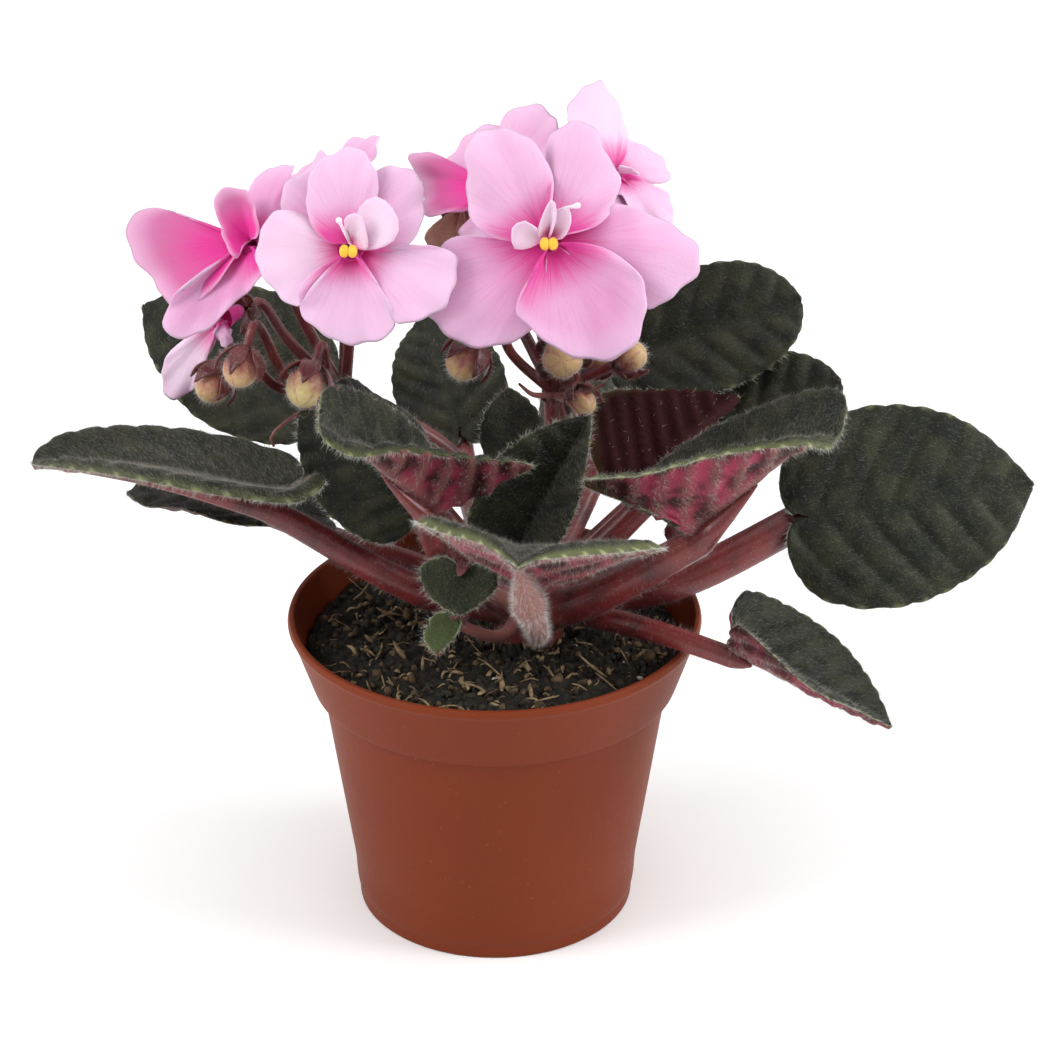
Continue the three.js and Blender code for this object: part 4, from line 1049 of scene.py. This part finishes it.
crownShape = {
    "centre": [5, 1, 0], "radius": 5.2, "foot": 38, "top": 52, "rootReach": 2.4, "rootSwell": 0.35,
    "stalkSides": 16, "groove": 0.05, "hairs": 3.0, "hairLength": [0.5, 1.4], "hairWidth": 0.012,
}


def stalkPath(leaf):  # from the crown to the blade and on under its midrib
    base = np.array(leaf["base"], float)
    x, _, z = frameOf(np.array(leaf["tip"], float) - base, leaf["face"])
    thin = leaf["stout"] * leaf["slim"]
    end = base + x * 0.5 - z * (leafDetail["thickness"] / 2 + 0.3 + thin)
    centre = np.array(crownShape["centre"], float)
    start = centre + unit((end - centre) * [1, 1, 0]) * crownShape["rootReach"] + [0, 0, leaf["root"]]
    steps = 30
    main = curveThrough([start, leaf.get("via", (start + end) / 2), end], steps)
    share = np.linspace(0, 1, steps + 1)
    radii = mix(leaf["stout"], thin, share) * (1 + crownShape["rootSwell"] * smooth(0.2, 0, share))
    reach = leaf.get("tail", 0.42)
    under = (leaf["midribU"] > 0.05) & (leaf["midribU"] < reach)
    share = (leaf["midribU"][under] - 0.05) / (reach - 0.05)
    thinning = thin * (1 - share) ** 0.9 * 0.75 + 0.12
    tail = leaf["midrib"][under] - leaf["midribFace"][under] * (thinning * 0.55)[:, None]
    path = np.concatenate([main, tail[::3]])
    radii = np.concatenate([radii, thinning[::3]])
    walked = walk(path)
    even = np.linspace(0, walked[-1], 46)
    path = sample(even, walked, path)
    share, meets = even / walked[-1], walked[steps] / walked[-1]
    wider = 0.5 * smooth(meets - 0.15, meets + 0.05, share) - 0.28 * smooth(0.6, 0.2, share)
    radii = np.interp(even, walked, radii) * (1 + leaf.get("flare", 0) * wider)
    for _ in range(3):  # eases the bend where the stalk meets the blade
        path[1:-1] = (path[:-2] + 2 * path[1:-1] + path[2:]) / 4
    return path, radii


def capEnds(path, radii):  # a half-round end for a tube
    way = unit(path[-1] - path[-2])
    turns = np.linspace(0, math.pi / 2, 5)[1:]
    tip = path[-1] + way * radii[-1] * np.sin(turns)[:, None]
    return np.concatenate([path, tip]), np.concatenate([radii, radii[-1] * np.maximum(np.cos(turns), 0.02)])


def addStalk(shape, leaf, draw):
    c = crownShape
    path, radii = capEnds(*stalkPath(leaf))
    sides = c["stalkSides"]
    grid, outward = tubeGrid(path, radii, sides)
    share = np.linspace(0, 1, len(path))[:, None] * np.ones(sides + 1)
    groove = 1 - c["groove"] * np.cos(np.linspace(0, 2 * math.pi, sides + 1) * 2)[None, :, None]
    grid = path[:, None] + (grid - path[:, None]) * groove
    shape.grid(grid, pale=leaf.get("pale", 0.0) + 0.25 * smooth(0.2, 0.0, share), tip=smooth(0.7, 1.0, share))
    count = int(stepsOf(path).sum() * 2 * math.pi * leaf["stout"] * 0.8 * c["hairs"] * leaf.get("fuzz", 1))
    roots, normals, along = scatter(grid, outward, count, draw, 1.2 - 0.6 * smooth(0.75, 0.95, share))
    ways = normals + along * 0.25 + draw.normal(size=normals.shape) * 0.35
    lengths = mix(*c["hairLength"], draw.random(count))
    addHairs(shape, roots, ways, lengths, c["hairWidth"], draw, finish=2 if "fuzz" in leaf else 1)


def makeCrown():
    draw = np.random.default_rng(31)
    c = crownShape
    share = np.linspace(0, 1, 24)
    path = np.array(c["centre"]) + share[:, None] * [0, 0, c["top"] - c["foot"]] + [0, 0, c["foot"]]
    radii = c["radius"] * (0.78 + 0.22 * np.sin(share * math.pi))
    radii = radii * np.sqrt(np.clip(1.02 - smooth(0.6, 1, share) ** 2, 0.001, 1))
    shape = Shape()
    shape.grid(tubeGrid(path, radii, 28)[0], pale=0.1, tip=0.8)
    for leaf in leaves:
        addStalk(shape, leaf, draw)
    shape.build("crownAndStalks", [stalkSkin, stalkHair, budHair], ["crown_and_stalks"])


makeCrown()
print("stalks made")


# Blooms. centre is the throat and face the way the bloom looks. A petal is given by the points that
# its margin passes on the way from the throat round and back: right, up and forward of the throat.
# A petal that others hide is plain, with its turn clockwise from the top in degrees, its length,
# its width and how far forward its end is. The crest is the small lobes in the throat.

plainMargin = [(0.4, -0.7), (0.75, -1), (0.97, -0.6), (1, 0), (0.97, 0.6), (0.75, 1), (0.4, 0.7)]


def plain(turn, length, width, forward):
    right, up = math.sin(math.radians(turn)), math.cos(math.radians(turn))
    margin = []
    for far, aside in plainMargin:
        out, across = far * length, aside * width / 2
        margin.append([right * out + up * across, up * out - right * across, far * forward])
    return margin


blooms = [
    {"name": "right_front", "centre": [7.6, -8, 107.5], "face": [0, -0.88, 0.48], "spray": "right",
      "petals": [
        [[-6.5, 0, -0.5], [-10, 2, 0], [-11, 8, 1], [-11.5, 12.5, 1.5], [-8, 15, 1], [-3, 13.5, 1.5],
          [0.5, 9, 1], [0.4, 5.5, 1.5]],
        [[-0.3, 8, -1], [0, 14, -1], [2, 16, 0], [6, 15.5, 0], [8, 11, -1], [9.5, 7.5, 0], [7.5, 2.5, 0]],
        [[4.5, 2.6, -1.5], [9, 5, -1.5], [15.5, 2.5, -1], [20.5, -1, 0], [20, -5, 0], [13.5, -9, -2],
          [7, -4.8, -2]],
        [[2.5, -0.4, 1], [8, -1.5, 2], [13, -6.5, 1.5], [13, -12, 0], [8.5, -16, -1], [0, -14, -0.5],
          [-4.5, -10, 1], [-2.4, -5, 1]],
        [[-0.4, -4.5, -1], [-1, -10.5, -2], [-6.5, -14, -2], [-13.5, -13, -3], [-17, -10, -4],
          [-16, -3.5, -3.5], [-13, 0.5, -2.5], [-8, 0.5, -1]],
      ],
      "crest": [
        [[-4.5, -1.5, 2], [-5, 1, 4], [-3.5, 2, 5], [-2, 1.3, 4]],
        [[-1.5, 0, 2.5], [-1.2, 2, 4], [0.5, 5, 6], [1, 3, 5], [0.2, 0.3, 3]],
        [[0.3, 1.5, 2], [0.8, 3.5, 4], [2.5, 3.8, 5], [3, 2, 4], [2, 0, 2.5]],
      ]},
    {"name": "left_front", "centre": [-19.2, -6, 105.6], "face": [-0.05, -0.87, 0.48], "spray": "left",
      "petals": [
        [[-4, 1, 1], [-6, 4.5, 1], [-5.5, 9.5, 1.5], [-3, 12.5, 1.5], [0, 14, 1], [3, 11, 1],
          [3.5, 7, 1], [2, 3, 1]],
        [[1.8, 6, -1], [3.5, 11, -1], [6.5, 11.5, -0.5], [9, 9.5, 0], [9.5, 4, 0], [7.5, -0.5, 0],
          [4, -0.5, 0]],
        [[-2.6, -3.2, 1], [-5.3, -6.5, 2], [-7, -8.5, 1], [-11, -5.5, 1], [-12.5, -1, 1], [-11.5, 3.5, 1],
          [-8.5, 5, 0], [-4.6, 2.8, 0]],
        [[3, -3.6, 1], [4.6, -6, 1], [6.5, -9, 1], [5.5, -12.5, 0], [2.5, -13, 0], [-3, -12, 0],
          [-6.5, -9, 1], [-6.5, -5.5, 2.5], [-3.3, -2.7, 1.5]],
        [[4, 0.2, 0], [9.5, 0.3, 1], [14, -0.5, 2], [15, -3, 2], [13, -7.5, 2], [7, -10.5, 1],
          [4, -5.2, -0.6]],
        [[-5, 2.3, -2.5], [-9.5, 4.5, -2.5], [-9.5, 7.5, -2], [-7, 11, -2], [-4.5, 13.5, -2],
          [-3.2, 10, -2.5]],
      ],
      "crest": [
        [[0.5, 2, 1.5], [1.5, 5.5, 3], [4, 6.5, 4], [6.5, 4, 4.5], [6.5, 1, 4], [3.5, -0.5, 2]],
        [[-0.2, 1, 2], [-0.5, 3.5, 4.5], [1.5, 4, 5], [2.5, 1.5, 4], [2.5, -0.5, 2.5]],
      ]},
    {"name": "left_side", "centre": [-33.7, 3, 103], "face": [-0.37, -0.6, 0.7], "spray": "left",
      "petals": [
        [[-0.5, -6, 1], [-4, -11.5, 1], [-8.5, -11.5, 1], [-13, -9, 1], [-16.5, -6, 1.5], [-18.5, -1.5, 2],
          [-17, 1, 1], [-10.5, 0.7, 1], [-6, 0.6, 0]],
        [[5, -4, 0], [2.5, -8.5, 0], [-1.5, -14.5, 0], [-5, -16.5, 1], [-6.5, -14, 1.5], [-5.3, -11.5, 4],
          [-3.5, -8, 2.5], [-1.6, -3.5, 1]],
        [[0, -3.5, 1], [-3.5, -0.5, 2], [-5.5, 2.5, 3], [-5, 4.5, 3.5], [-2.5, 6, 3], [0, 4.5, 2.5],
          [2.5, 0, 1.5]],
        [[-2.4, 3.5, -2], [-5, 7.5, -2], [-3.5, 10.5, -1.5], [-0.5, 12.5, -1], [1.5, 12.5, -1],
          [1.5, 9.5, -2], [0.8, 4.5, -2]],
        plain(98, 8, 8, -3),
      ]},
    {"name": "left_back", "centre": [-22.7, 9, 107.1], "face": [-0.3, -0.3, 0.9], "spray": "left",
      "petals": [
        plain(-5, 11, 6, 2), plain(72, 10, 8, 1), plain(144, 8, 8, -1), plain(216, 7, 7, 0),
        plain(288, 8, 8, 1),
      ]},
    {"name": "left_spent", "centre": [-38.1, 5, 90.4], "face": [-0.5, -0.8, 0.1], "spray": "left",
      "petals": [
        [[-1.5, -5, 0], [-3.5, -10.5, 1], [-7, -13.5, 1], [-9.5, -13.5, 1], [-9.5, -11, 1], [-8, -6.5, 1],
          [-5.5, -3.5, 0], [-3, -1, 0]],
        plain(172, 4, 3, 0),
      ]},
    {"name": "right_back", "centre": [0.9, 13, 106.5], "face": [-0.4, -0.3, 0.85], "spray": "right",
      "petals": [
        [[-2.5, -8, 1], [-5.5, -9.5, 2], [-11, -5.5, 2.5], [-14.5, -4, 4], [-12.5, -1.5, 3], [-7.5, -0.5, 2],
          [-4, 0, 1]],
        [[-6.5, 0.1, 0], [-14, 0.5, 0], [-12, 4.5, 1], [-9, 9.5, 1], [-4, 6.5, 0]],
        [[-5, 4, 0], [-9.5, 9, 1], [-7.5, 11.5, 2], [-4.5, 13.5, 2], [-0.5, 13, 1], [3.5, 7.5, 0]],
        plain(62, 11, 8, -1), plain(145, 10, 9, 0),
      ]},
    {"name": "right_high", "centre": [17.4, 12, 109.5], "face": [0.51, -0.3, 0.81], "spray": "right",
      "petals": [
        [[-0.3, 2.2, 0], [-1.5, 10, 1], [2.5, 12, 2], [6.5, 12, 2.5], [10, 9.5, 2.5], [8, 6, 2],
          [5.5, 2.5, 1]],
        [[2, -3.5, 1], [3, -6.5, 1], [-0.5, -10.5, 1], [-2.5, -8, 0], [-5, -4, 0]],
        plain(95, 10, 9, 0), plain(-60, 6, 6, -1), plain(230, 8, 8, -1),
      ],
      "crest": [[[-1, -2.5, 3], [-2.5, -3, 4], [-3.2, -1.8, 4], [-2.6, -0.2, 3]]]},
    {"name": "right_withered", "centre": [-4.5, 17, 102.8], "face": [0.1, -0.9, 0.3], "spray": "right",
      "petals": [plain(205, 8, 6, 0), plain(160, 7, 6, 1)]},
]

# How deep the colour of each petal is; below 0 it turns white
bloomTones = {
    "right_front": [0.35, 0.35, 0.5, 0.5, 0.5],
    "left_front": [0.2, 0.3, -0.35, 0.25, 0.25, 0.4],
    "left_side": [1.5, 0.6, 1.5, 0.6, 0.5],
    "left_back": [0.5, 0.5, 0.5, 0.5, 0.5],
    "left_spent": [-0.4, 0.3],
    "right_back": [1.5, 0.5, 0.4, 0.5, 0.5],
    "right_high": [-0.35, 0.15, 0.2, 0.3, 0.3],
    "right_withered": [0.3, 0.3],
    "crest": -0.42,
}
petalDetail = {
    "thickness": 0.45, "rows": 16, "columns": 56, "crestRows": 10, "crestColumns": 14, "crestWaves": 0.3,
    "dome": 0.7, "ruffle": 0.5, "frill": 0.35, "notch": 0.022, "tube": (-4, 0.2), "tubeRadius": (1, 1.9),
}


def faceAxes(centre, face):
    z = unit(face)
    y = np.array([0, 0, 1.0])
    y = unit(y - z * z[2])
    return {"centre": np.array(centre, float), "x": np.cross(y, z), "y": y, "z": z}


def placeIn(axes, place):  # from right, up and forward of the throat
    return axes["centre"] + sum(place[..., k:k + 1] * axes[way] for k, way in enumerate("xyz"))


def addPetal(shape, margin, axes, depth, draw, tone, crest=False):
    d = petalDetail
    rows, columns = (d["crestRows"], d["crestColumns"]) if crest else (d["rows"], d["columns"])
    margin = np.array(margin, float)
    rim = curveThrough([np.zeros(3), *margin, np.zeros(3)], 300)
    out = unit(margin.sum(axis=0))
    aside = np.cross(out, [0, 0, 1.0])
    along = np.linspace(0.05, 0.95, columns + 1)[None] * np.ones((rows + 1, 1))
    far = (1 - (1 - np.linspace(0, 1, rows + 1)) ** 1.25)[:, None] * np.ones(columns + 1)
    edge = sample(along, np.linspace(0, 1, 301), rim)
    waves = draw.random(4) * 6
    fine = d["crestWaves"] if crest else 1
    bays = np.sin(along * 15 + waves[0]) + 0.6 * np.sin(along * 33 + waves[1])
    bays = bays + 0.5 * np.sin(along * 71 + waves[2])
    notch = 1 + fine * d["notch"] * bays * far**3
    place = edge * (far * notch)[..., None] + out * (0.6 * (1 - far))[..., None]
    frill = d["frill"] * far**4 * (np.sin(along * 27 + waves[2]) + 0.6 * np.sin(along * 51 + waves[3]))
    wave = d["ruffle"] * far**3 * np.sin(along * 16 + margin[0][0])
    dome = d["dome"] * np.sin(math.pi * far)
    place[..., 2] += fine * (dome + wave + frill) - depth * (1 - far)
    forward = place @ out
    points = placeIn(axes, place)
    half = d["thickness"] / 2 * np.sqrt(np.clip(1 - far**10, 0, 1))
    half = half * np.sin(math.pi * (along * 0.98 + 0.01)) ** 0.4
    closes = (far > 0.999) | (along < 0.0501) | (along > 0.9499)
    shape.skin(points, half, half, gridNormals(points), closes, twoSided=True, tone=tone,
               reach=np.clip(forward / (margin @ out).max(), 0, 1), edge=smooth(0.72, 1.0, far),
               across=np.arctan2(place @ aside, np.maximum(forward, 0.1)))


# Where the style of each open bloom ends: right, up and forward of the throat
styleEnds = {"right_front": [[1.5, 3.5, 4], [3.8, 4.0, 5]], "left_front": [[-0.5, 1.5, 3], [-1.2, 3.0, 5]]}
antherShape = {
    "radius": 0.8, "long": 1.1, "slim": 0.85, "seam": 0.18, "apart": 0.55, "forward": 3.1, "below": 0.9,
}
styleShape = {"start": [0.3, 0, -1], "radius": (0.3, 0.2), "knob": 0.25}


def makeAnthers(bloom, axes):
    a = antherShape
    shape = Shape()
    turns = np.linspace(0, 2 * math.pi, 25)
    lifts = np.linspace(-math.pi / 2, math.pi / 2, 14)[:, None]
    seam = 1 - a["seam"] * np.exp(-(((turns - math.pi / 2) / 0.3) ** 2))
    reach = np.cos(lifts) * seam * a["radius"]
    rise = np.sin(lifts) * a["radius"] * a["long"] + 0 * reach
    sac = np.stack([reach * np.cos(turns) * a["slim"], reach * np.sin(turns) * a["slim"], rise], -1)
    for side in (-1, 1):  # two joined sacs, each with a seam
        middle = axes["centre"] + axes["z"] * a["forward"] - axes["y"] * a["below"]
        middle = middle + axes["x"] * side * a["apart"]
        local = sum(sac[..., k:k + 1] * axes[way] for k, way in enumerate("xzy"))
        shape.grid(middle + local, flip=True)
    shape.build("anthers_" + bloom, [antherSkin], ["anthers_" + bloom])
    style = Shape()
    path = curveThrough(placeIn(axes, np.array([styleShape["start"], *styleEnds[bloom]])), 16)
    share = np.linspace(0, 1, 17)
    radii = mix(*styleShape["radius"], share) + styleShape["knob"] * smooth(0.9, 1, share)
    grid, _ = tubeGrid(*capEnds(path, radii), 10)
    style.grid(grid, reach=0.9, across=0.0, tone=-0.5, edge=0.0)
    style.build("style_" + bloom, [petalSkin], [])


def makeBloom(entry, seed):
    draw = np.random.default_rng(300 + seed)
    axes = faceAxes(entry["centre"], entry["face"])
    shape = Shape()
    for index, (petal, tone) in enumerate(zip(entry["petals"], bloomTones[entry["name"]])):
        addPetal(shape, petal, axes, 0.7 + 0.3 * index, draw, tone)
    for index, petal in enumerate(entry.get("crest", [])):
        addPetal(shape, petal, axes, 0.5 * index, draw, bloomTones["crest"], crest=True)
    steps = np.linspace(0, 1, 12)
    path = axes["centre"] + axes["z"] * mix(*petalDetail["tube"], steps)[:, None]
    grid, _ = tubeGrid(path, mix(*petalDetail["tubeRadius"], steps**1.5), 20)
    shape.grid(grid, reach=mix(0.4, 0.05, steps)[:, None] * np.ones(21), across=0.0, tone=1.0, edge=0.0)
    name = "bloom_" + entry["name"]
    if entry["name"] == "right_withered":
        shape.build(name, [witheredPetal], [name])
    else:
        shape.build(name, [petalSkin], [name])
    if entry["name"] in styleEnds:
        makeAnthers(entry["name"], axes)


for seed, entry in enumerate(blooms):
    makeBloom(entry, seed)
print("blooms made")


# Buds, and the sprays that carry them and the blooms

buds = [
    {"name": "left_front", "centre": [-25.9, -6, 84.8], "radius": 2.7, "face": [-0.3, -0.7, -0.6],
      "spray": "left", "cream": 0.9},
    {"name": "left_arched", "centre": [-34.7, -7, 88], "radius": 2.4, "face": [-0.3, -0.4, -0.9],
      "spray": "left", "via": [-28, 6, 79], "from": [-19, 12.5, 73]},
    {"name": "left_low", "centre": [-39.1, -2, 83.3], "radius": 2.4, "face": [-0.6, -0.3, -0.7],
      "spray": "left", "via": [-31, 6, 79.5], "from": [-19, 12.5, 73]},
    {"name": "right_arched", "centre": [-3.8, -4, 87.8], "radius": 2.6, "face": [-0.6, -0.3, -0.7],
      "spray": "right"},
    {"name": "right_front", "centre": [9.6, -3, 87.8], "radius": 2.8, "face": [0, -0.8, 0.3],
      "spray": "right"},
    {"name": "right_middle", "centre": [14.4, 8, 82.7], "radius": 2.1, "face": [0.3, -0.2, 0.8],
      "spray": "right"},
    {"name": "right_outer", "centre": [19.2, 3, 85.4], "radius": 2.2, "face": [0.7, -0.3, 0.5],
      "spray": "right"},
    {"name": "right_low", "centre": [12.6, 1, 79.2], "radius": 1.8, "face": [0.4, -0.8, -0.3],
      "spray": "right"},
]
budDetail = {
    "rows": 26, "sides": 40, "long": 1.1, "lobes": 5, "twist": 0.9, "fold": 0.07, "foldWidth": 0.22,
    "swell": 0.03, "hairs": 9.0, "hairLength": (0.4, 1.1), "hairWidth": 0.012,
}


def makeBud(entry, seed):
    draw = np.random.default_rng(500 + seed)
    axes = faceAxes(entry["centre"], entry["face"])
    radius = entry["radius"]
    d = budDetail
    lift = np.linspace(0, math.pi, d["rows"] + 1)[:, None] * np.ones(d["sides"] + 1)
    turn = np.linspace(0, 2 * math.pi, d["sides"] + 1)[None] * np.ones((d["rows"] + 1, 1))
    crease = np.abs(np.sin(turn * d["lobes"] / 2 + d["twist"] * lift + seed))
    fold = np.exp(-((crease / d["foldWidth"]) ** 2)) * smooth(0.5, 1.4, lift)
    out = radius * np.sin(lift) * (1 - d["fold"] * fold + d["swell"] * crease)
    height = -np.cos(lift) * radius * d["long"]
    points = axes["centre"] + axes["z"] * height[..., None] + axes["x"] * (np.cos(turn) * out)[..., None]
    points = points + axes["y"] * (np.sin(turn) * out)[..., None]
    shape = Shape()
    shape.grid(points, vein=fold, reach=lift / math.pi, cream=entry.get("cream", 0.4))
    count = int(4 * math.pi * radius**2 * d["hairs"])
    roots, normals, _ = scatter(points, unit(points - axes["centre"]), count, draw)
    ways = normals + draw.normal(size=normals.shape) * 0.3
    addHairs(shape, roots, ways, mix(*d["hairLength"], draw.random(count)), d["hairWidth"], draw)
    shape.build("bud_" + entry["name"], [budSkin, budHair], ["bud_" + entry["name"]])


calyxShape = {
    "sepals": 5, "rows": 14, "columns": 12, "foot": 0.12, "reach": 1.35, "width": 0.6, "gap": 0.5,
    "flare": 0.12, "thickness": 0.44, "hairs": 46, "hairLength": (0.4, 1.0), "hairWidth": 0.022,
}


def addCalyx(shape, axes, radius, reach, draw):  # pointed sepals that hug the bud or the tube
    c = calyxShape
    t = np.linspace(0, 1, c["rows"] + 1)[:, None] * np.ones(c["columns"] + 1)
    w = np.linspace(-1, 1, c["columns"] + 1)[None] * np.ones((c["rows"] + 1, 1))
    lift = mix(c["foot"], c["reach"] * reach, t)
    width = c["width"] * np.sin(math.pi * np.clip(t * 0.7 + 0.15, 0, 1)) ** 0.8 * (1 - t**1.6)
    out = (radius + c["gap"]) * (1 + c["flare"] * t**2 + 0.06 * w**2)
    half = c["thickness"] / 2 * np.sqrt(np.clip(1 - w**6, 0, 1))
    closes = (np.abs(w) > 0.999) | (t > 0.999)
    for sepal in range(c["sepals"]):
        turn = sepal / c["sepals"] * 2 * math.pi + w * width * (1 + 0.4 * t)
        points = axes["centre"] - axes["z"] * (np.cos(lift) * out)[..., None]
        points = points + axes["x"] * (np.cos(turn) * np.sin(lift) * out)[..., None]
        points = points + axes["y"] * (np.sin(turn) * np.sin(lift) * out)[..., None]
        normals = gridNormals(points)
        if (normals * (points - axes["centre"])).sum() < 0:
            points = points[:, ::-1]
            normals = gridNormals(points)
        top, _ = shape.skin(points, half, half, normals, closes, pale=0.1 * (1 - t), tip=1 + t)
        roots, ways, along = scatter(top, normals, c["hairs"], draw)
        ways = ways + along * 0.5 + draw.normal(size=ways.shape) * 0.3
        addHairs(shape, roots, ways, mix(*c["hairLength"], draw.random(c["hairs"])), c["hairWidth"], draw)


# The main stalk of each spray runs from start past via to fork. A bract is a slim twig that follows
# a line of points from the fork
sprays = {
    "left": {
        "start": [2.4, 3.4, 55], "via": [-7, 15, 64.5], "fork": [-21.5, 10, 76],
        "bracts": [[[-21, 9, 76], [-26, 3, 77.4], [-29.8, -1, 76.6], [-31.3, -2, 75.2], [-30.9, -2, 73.8]],
                   [[-21, 9, 76], [-24, 5, 80], [-27.5, 3, 82]]],
    },
    "right": {
        "start": [7.4, 1.8, 53.8], "via": [8.8, 7.5, 65], "fork": [8.5, 6, 78.5],
        "bracts": [[[8.5, 5, 78.5], [5.5, 2, 80], [3.6, 0, 82.5]],
                   [[8.5, 5, 78.5], [12.5, 1, 80.5], [15.5, -1, 83]],
                   [[8.5, 5, 78.5], [11, 0, 79], [12, -2, 77.5]]],
    },
}
# For each kind of twig its thick and thin end, its steps and sides, and how pale it is
twigs = {
    "main": (1.9, 1.5, 36, 16, 0.1), "bract": (0.55, 0.2, 14, 8, 0.5), "bloom": (0.9, 0.72, 26, 12, 0.05),
    "bud": (0.8, 0.64, 26, 12, 0.05),
}
sprayDetail = {"throat": 3.1, "seat": 2.3, "hairs": 3.6, "hairLength": (0.4, 1.3), "hairWidth": 0.013}


def addTwig(shape, points, kind, draw):
    thick, thin, steps, sides, pale = twigs[kind]
    path = curveThrough(points, steps)
    grid, outward = tubeGrid(path, mix(thick, thin, np.linspace(0, 1, steps + 1)), sides)
    shape.grid(grid, pale=pale, tip=0.0)
    d = sprayDetail
    count = int(stepsOf(path).sum() * 2 * math.pi * (thick + thin) / 2 * d["hairs"])
    roots, normals, along = scatter(grid, outward, count, draw)
    ways = normals + along * 0.15 + draw.normal(size=normals.shape) * 0.3
    addHairs(shape, roots, ways, mix(*d["hairLength"], draw.random(count)), d["hairWidth"], draw)


def addBranch(shape, spray, entry, kind, radius, seat, reach, draw):
    # a calyx behind the bloom or bud, and the twig to it from the fork
    axes = faceAxes(entry["centre"], entry["face"])
    axes["centre"] = axes["centre"] - axes["z"] * seat
    end = axes["centre"] - axes["z"] * (radius + 0.3 + calyxShape["gap"])
    swing = end - axes["z"] * 3
    start = np.array(entry.get("from", spray["fork"]), float)
    middle = entry["via"] if "via" in entry else mix(mix(end, start, 0.5), swing, 0.3)
    addCalyx(shape, axes, radius, reach, draw)
    addTwig(shape, [start, middle, swing, end], kind, draw)


def makeSpray(side):
    draw = np.random.default_rng(700 + len(side))
    spray = sprays[side]
    shape = Shape()
    addTwig(shape, [spray["start"], spray["via"], spray["fork"]], "main", draw)
    way = np.array(spray["fork"], float) - spray["via"]
    collar = faceAxes(np.array(spray["fork"]) + unit(way) * 0.6, way)  # bracts round the fork
    addCalyx(shape, collar, 1.5, 1.1, draw)
    for points in spray["bracts"]:
        addTwig(shape, points, "bract", draw)
    for entry in blooms:
        if entry["spray"] == side:
            addBranch(shape, spray, entry, "bloom", sprayDetail["seat"], sprayDetail["throat"], 1.15, draw)
    for entry in buds:
        if entry["spray"] == side:
            addBranch(shape, spray, entry, "bud", entry["radius"] * budDetail["long"], 0, 1.4, draw)
    shape.build("spray_" + side, [stalkSkin, stalkHair], ["spray_" + side])


for seed, entry in enumerate(buds):
    makeBud(entry, seed)
makeSpray("left")
makeSpray("right")
print("sprays made")


# Floor, lights and camera

# room is how bright the walls and the ceiling are, and a lamp has its place, size and power
stageLook = {
    "floor": 0.97,
    "floorReach": 3,
    "room": (0.32, 1.2),
    "lampAim": (0, 0, 0.06),
    "lamps": {
        "leftLamp": ((-0.6, -0.2, 0.48), 0.4, 3.2),
        "rightLamp": ((0.62, -0.1, 0.42), 0.4, 3.6),
    },
}


def makeFloor():
    reach = stageLook["floorReach"]
    mesh = bpy.data.meshes.new("floor")
    corners = [(-reach, -reach, 0), (reach, -reach, 0), (reach, reach, 0), (-reach, reach, 0)]
    mesh.from_pydata(corners, [], [(0, 1, 2, 3)])
    floor = bpy.data.objects.new("floor", mesh)
    bpy.context.scene.collection.objects.link(floor)
    mesh.materials.append(Finish("paleFloor").finish([stageLook["floor"]] * 3, 0.9))


def makeRoom():
    world = bpy.data.worlds.new("studio")
    world.use_nodes = True
    nodes, links = world.node_tree.nodes, world.node_tree.links
    towards = nodes.new("ShaderNodeSeparateXYZ")
    links.new(nodes.new("ShaderNodeTexCoord").outputs["Generated"], towards.inputs[0])
    brightness = nodes.new("ShaderNodeMapRange")  # a bright ceiling over dimmer walls
    links.new(towards.outputs["Z"], brightness.inputs["Value"])
    brightness.inputs["To Min"].default_value, brightness.inputs["To Max"].default_value = stageLook["room"]
    nodes["Background"].inputs["Color"].default_value = (1, 1, 1, 1)
    links.new(brightness.outputs[0], nodes["Background"].inputs["Strength"])
    bpy.context.scene.world = world
    bpy.context.scene.view_settings.view_transform = "Standard"


def makeLamps():
    for name, (place, size, power) in stageLook["lamps"].items():
        lamp = bpy.data.lights.new(name, "AREA")
        lamp.size, lamp.energy = size, power
        holder = bpy.data.objects.new(name, lamp)
        holder.location = place
        x, y, z = np.array(stageLook["lampAim"]) - place
        holder.rotation_euler = (math.atan2(math.hypot(x, y), -z), 0, math.atan2(x, -y) + math.pi)
        bpy.context.scene.collection.objects.link(holder)


photoView = {"tilt": 26.8, "target": [4.4, 0, 60.4], "distance": 500, "lens": 120, "sensor": 36}


def makeCamera():
    lens = bpy.data.cameras.new("camera")
    lens.lens, lens.sensor_width = photoView["lens"], photoView["sensor"]
    camera = bpy.data.objects.new("camera", lens)
    tilt = math.radians(photoView["tilt"])
    back = np.array([0, -math.cos(tilt), math.sin(tilt)]) * photoView["distance"]
    camera.location = (np.array(photoView["target"]) + back) * mm
    camera.rotation_euler = (math.pi / 2 - tilt, 0, 0)
    bpy.context.scene.collection.objects.link(camera)
    bpy.context.scene.camera = camera


makeFloor()
makeRoom()
makeLamps()
makeCamera()
print("stage made")

bpy.context.view_layer.update()
